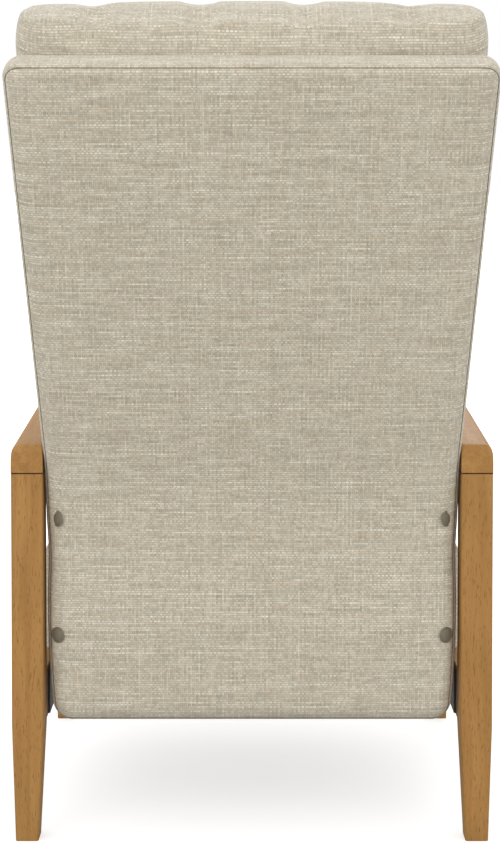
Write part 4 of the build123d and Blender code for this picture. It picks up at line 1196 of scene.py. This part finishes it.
class RECLINER_OT_side_panels(bpy.types.Operator):
    """Covers the side panels under the seat in cloth over thin padding"""

    bl_idname = "recliner.side_panels"
    bl_label = "Side Panels"

    def execute(self, context):
        mesh_size, padding, padding_run = 2.5 * MM, 2.5 * MM, 35 * MM
        for side in ("left", "right"):
            node = f"{side}_side_panel"
            low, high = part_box(node)
            obj = remeshed(merged_copy(node, f"{side}_panel_cover"), mesh_size)
            relax(obj, 5)
            points, normals = points_of(obj), normals_of(obj)
            edge = np.minimum.reduce([points[:, 1] - low.y, high.y - points[:, 1],
                                      points[:, 2] - low.z, high.z - points[:, 2]])
            swell_share = np.clip(edge / padding_run, 0, 1)
            outward = np.abs(normals[:, 0]) * (np.abs(points[:, 0]) > INNER_X + 4 * MM)
            points[:, 0] += np.sign(points[:, 0]) * outward * padding * swell_share * (2 - swell_share)
            move_points(obj, points)
            lay_weave(obj)
            hand_over(obj, "frame", oatmeal_tweed, [node])
        return {"FINISHED"}


class RECLINER_OT_mechanism(bpy.types.Operator):
    """Finishes the steel linkage, the drive and the seat's webbing"""

    bl_idname = "recliner.mechanism"
    bl_label = "Mechanism"

    def execute(self, context):
        paint_nodes(powder_coated_steel,
                    "left_side_plate", "right_side_plate", "left_back_bracket", "right_back_bracket")
        paint_nodes(zinc_plated_steel,
                    "left_cross_bar", "right_cross_bar", "left_drive_bar", "right_drive_bar",
                    "left_footrest_bar", "right_footrest_bar", "tie_links", "push_rods", "drive_beam",
                    "crank", "track_brackets", "torque_tube")
        paint_nodes(turned_steel, "back_bolts", "back_pivot_pins", "cross_pins", "cross_shaft", "drive_pins",
                    "tie_pins", "side_plate_bolts", "lead_screw")
        paint_nodes(anodised_aluminium, "drive_track")
        paint_nodes(black_nylon, "gearbox", "drive_motor", "drive_nut", "power_inlet", "control_pod")
        paint_nodes(elastic_webbing, "seat_webbing")
        paint_nodes(grey_abs, "recline_button", "return_button")
        self.screw_thread()
        self.housing_screws()
        self.staples()
        return {"FINISHED"}

    def screw_thread(self):
        """The lead screw's thread: six left hand starts with a lead of 30 mm, as the travel needs."""
        low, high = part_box("lead_screw")
        lead, starts, depth = 30 * MM, 6, 0.7 * MM
        radius = (high.x - low.x) / 2
        axis_z = (low.z + high.z) / 2
        ridges = []
        for start in range(starts):
            path = []
            # The thread stops short of the screw's ends
            for y in np.linspace(low.y + 6 * MM, high.y - 4 * MM, 90):
                angle = -2 * math.pi * ((y - low.y) / lead + start / starts)
                path.append((radius * math.sin(angle), y, axis_z + radius * math.cos(angle)))
            ridges.append(tube(f"ridge_{start}", path, depth, sides=4, closed=False))
        hand_over(joined("screw_thread", ridges), "screw", turned_steel)

    def housing_screws(self):
        """The gearbox's four cover screws."""
        low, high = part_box("gearbox")
        inset = 8 * MM
        columns, rows = (low.x + inset, high.x - inset), (low.y + inset, high.y - inset)
        places = [(x, y, low.z) for x in columns for y in rows]
        screws = instanced("gearbox_screws", places, [(0, 0, -1)] * 4, turned_steel, domed_shape,
                           Radius=3 * MM, Height=1.4 * MM)
        hand_over(screws, "frame", turned_steel)

    def staples(self):
        """The staples that hold the webbing's ends on the seat rails."""
        places = []
        end_inset, rise = 9 * MM, 0.2 * MM
        for points in islands("seat_webbing"):
            low, high = points.min(axis=0), points.max(axis=0)
            for x in (low[0] + end_inset, high[0] - end_inset):
                for share in (0.15, 0.38, 0.62, 0.85):
                    places.append((x, low[1] + (high[1] - low[1]) * share, high[2] + rise))
        staples = instanced("webbing_staples", places, [(0, 0, 1)] * len(places), zinc_plated_steel,
                            wire_shape, Radius=0.6 * MM, Length=9 * MM)
        hand_over(staples, "frame", zinc_plated_steel)


def wire_shape(tree, inputs):
    """A short round wire that lies flat, as of a staple's back."""
    wire = add(tree, "GeometryNodeMeshCylinder", {
        "Vertices": 8, "Radius": inputs.outputs["Radius"], "Depth": inputs.outputs["Length"]})
    return add(tree, "GeometryNodeTransform", {"Geometry": wire, "Rotation": (0, math.pi / 2, 0)})


class RECLINER_OT_stage(bpy.types.Operator):
    """Sets the floor, the lights and the camera"""

    bl_idname = "recliner.stage"
    bl_label = "Stage"

    def execute(self, context):
        self.floor()
        self.world(context)
        self.lamps()
        self.camera(context)
        context.scene.view_settings.view_transform = "Standard"
        return {"FINISHED"}

    def floor(self):
        """A pale floor that takes the object's soft shadow and goes over into the white round it."""
        reach = 40
        corners = [(-reach, -reach, 0), (reach, -reach, 0), (reach, reach, 0), (-reach, reach, 0)]
        floor = mesh_object("floor", corners, [(0, 1, 2, 3)])
        material, tree, shader = new_material("pale_floor", Roughness=0.9, Base_Color=linear("#C8C8C6"))
        rays = add(tree, "ShaderNodeLightPath")
        away = add(tree, "ShaderNodeVectorMath", {
            0: add(tree, "ShaderNodeTexCoord").outputs["Object"]}, operation="LENGTH")
        fade = remap(tree, away.outputs["Value"], (0.5, 1.9), (0.62, 1.0), interpolation_type="SMOOTHSTEP")
        glow = maths(tree, "MULTIPLY", rays.outputs["Is Camera Ray"], fade)
        shader.inputs["Emission Color"].default_value = (1, 1, 1, 1)
        tree.links.new(glow.outputs[0], shader.inputs["Emission Strength"])
        floor.data.materials.append(material)

    def world(self, context):
        """A white world. The camera and reflections see it plain, while the pieces are lit a little more."""
        plain, lit = 1.0, 1.08
        world = bpy.data.worlds.new("studio")
        context.scene.world = world
        world.use_nodes = True
        tree = world.node_tree
        background = next(node for node in tree.nodes if node.type == "BACKGROUND")
        rays = add(tree, "ShaderNodeLightPath")
        seen = maths(tree, "MAXIMUM", rays.outputs["Is Camera Ray"], rays.outputs["Is Glossy Ray"])
        seen = maths(tree, "MAXIMUM", seen, rays.outputs["Is Transmission Ray"])
        strength = remap(tree, seen, (0.0, 1.0), (lit, plain))
        background.inputs["Color"].default_value = (1, 1, 1, 1)
        tree.links.new(strength.outputs[0], background.inputs["Strength"])

    def lamps(self):
        """Three large soft lamps, aimed at the middle of the recliner."""
        middle = Vector((0, 0, 0.6))
        for name, place, size, power in (
                ("key", (-1.7, -2.8, 2.4), 2.4, 18.0),
                ("fill", (2.0, -2.7, 1.7), 2.4, 9.0),
                ("front", (0.6, 3.2, 2.4), 2.0, 24.0)):
            lamp = bpy.data.lights.new(name, "AREA")
            lamp.shape = "DISK"
            lamp.size = size
            lamp.energy = power
            holder = linked(name, lamp)
            holder.location = place
            holder.rotation_euler = (middle - Vector(place)).to_track_quat("-Z", "Y").to_euler()

    def camera(self, context):
        """The photo's view: level height from its horizon, with the picture shifted down."""
        camera_height = 0.938
        camera_distance = 2.60
        focal_px = 1943.0
        picture_height_px = 850.0
        horizon_px = 150.0
        shift_px = 204.0
        centre_px = 2.0
        data = bpy.data.cameras.new("photo_view")
        data.sensor_width = 36.0
        data.lens = focal_px / picture_height_px * data.sensor_width
        data.shift_y = -shift_px / picture_height_px
        data.shift_x = -centre_px / picture_height_px
        holder = linked("photo_view", data)
        pitch = math.atan((picture_height_px / 2 - horizon_px - shift_px) / focal_px)
        holder.location = (0, REAR_Y - camera_distance, camera_height)
        holder.rotation_euler = (math.pi / 2 - pitch, 0, 0)
        context.scene.camera = holder


class RECLINER_PT_panel(bpy.types.Panel):
    """Lists the pieces of the recliner"""

    bl_idname = "RECLINER_PT_panel"
    bl_label = "Recliner"
    bl_space_type = "VIEW_3D"
    bl_region_type = "UI"
    bl_category = "Recliner"

    def draw(self, context):
        for operator in OPERATORS:
            self.layout.operator(operator.bl_idname)
        for group in (context.scene.recliner_sizes, context.scene.recliner_colours):
            box = self.layout.box()
            for name in group.bl_rna.properties.keys():
                if name not in ("rna_type", "name"):
                    box.prop(group, name)


OPERATORS = (
    RECLINER_OT_wood, RECLINER_OT_mechanism, RECLINER_OT_back, RECLINER_OT_back_cushion,
    RECLINER_OT_seat_cushion, RECLINER_OT_footrest_pad, RECLINER_OT_seat_box, RECLINER_OT_side_panels,
    RECLINER_OT_stage)
CLASSES = (ReclinerSizes, ReclinerColours, *OPERATORS, RECLINER_PT_panel)


def register():
    for item in CLASSES:
        bpy.utils.register_class(item)
    bpy.types.Scene.recliner_sizes = PointerProperty(type=ReclinerSizes)
    bpy.types.Scene.recliner_colours = PointerProperty(type=ReclinerColours)


def unregister():
    del bpy.types.Scene.recliner_colours
    del bpy.types.Scene.recliner_sizes
    for item in reversed(CLASSES):
        bpy.utils.unregister_class(item)


def main():
    register()
    for operator in OPERATORS:
        group, name = operator.bl_idname.split(".")
        getattr(getattr(bpy.ops, group), name)()


if __name__ == "__main__":
    main()
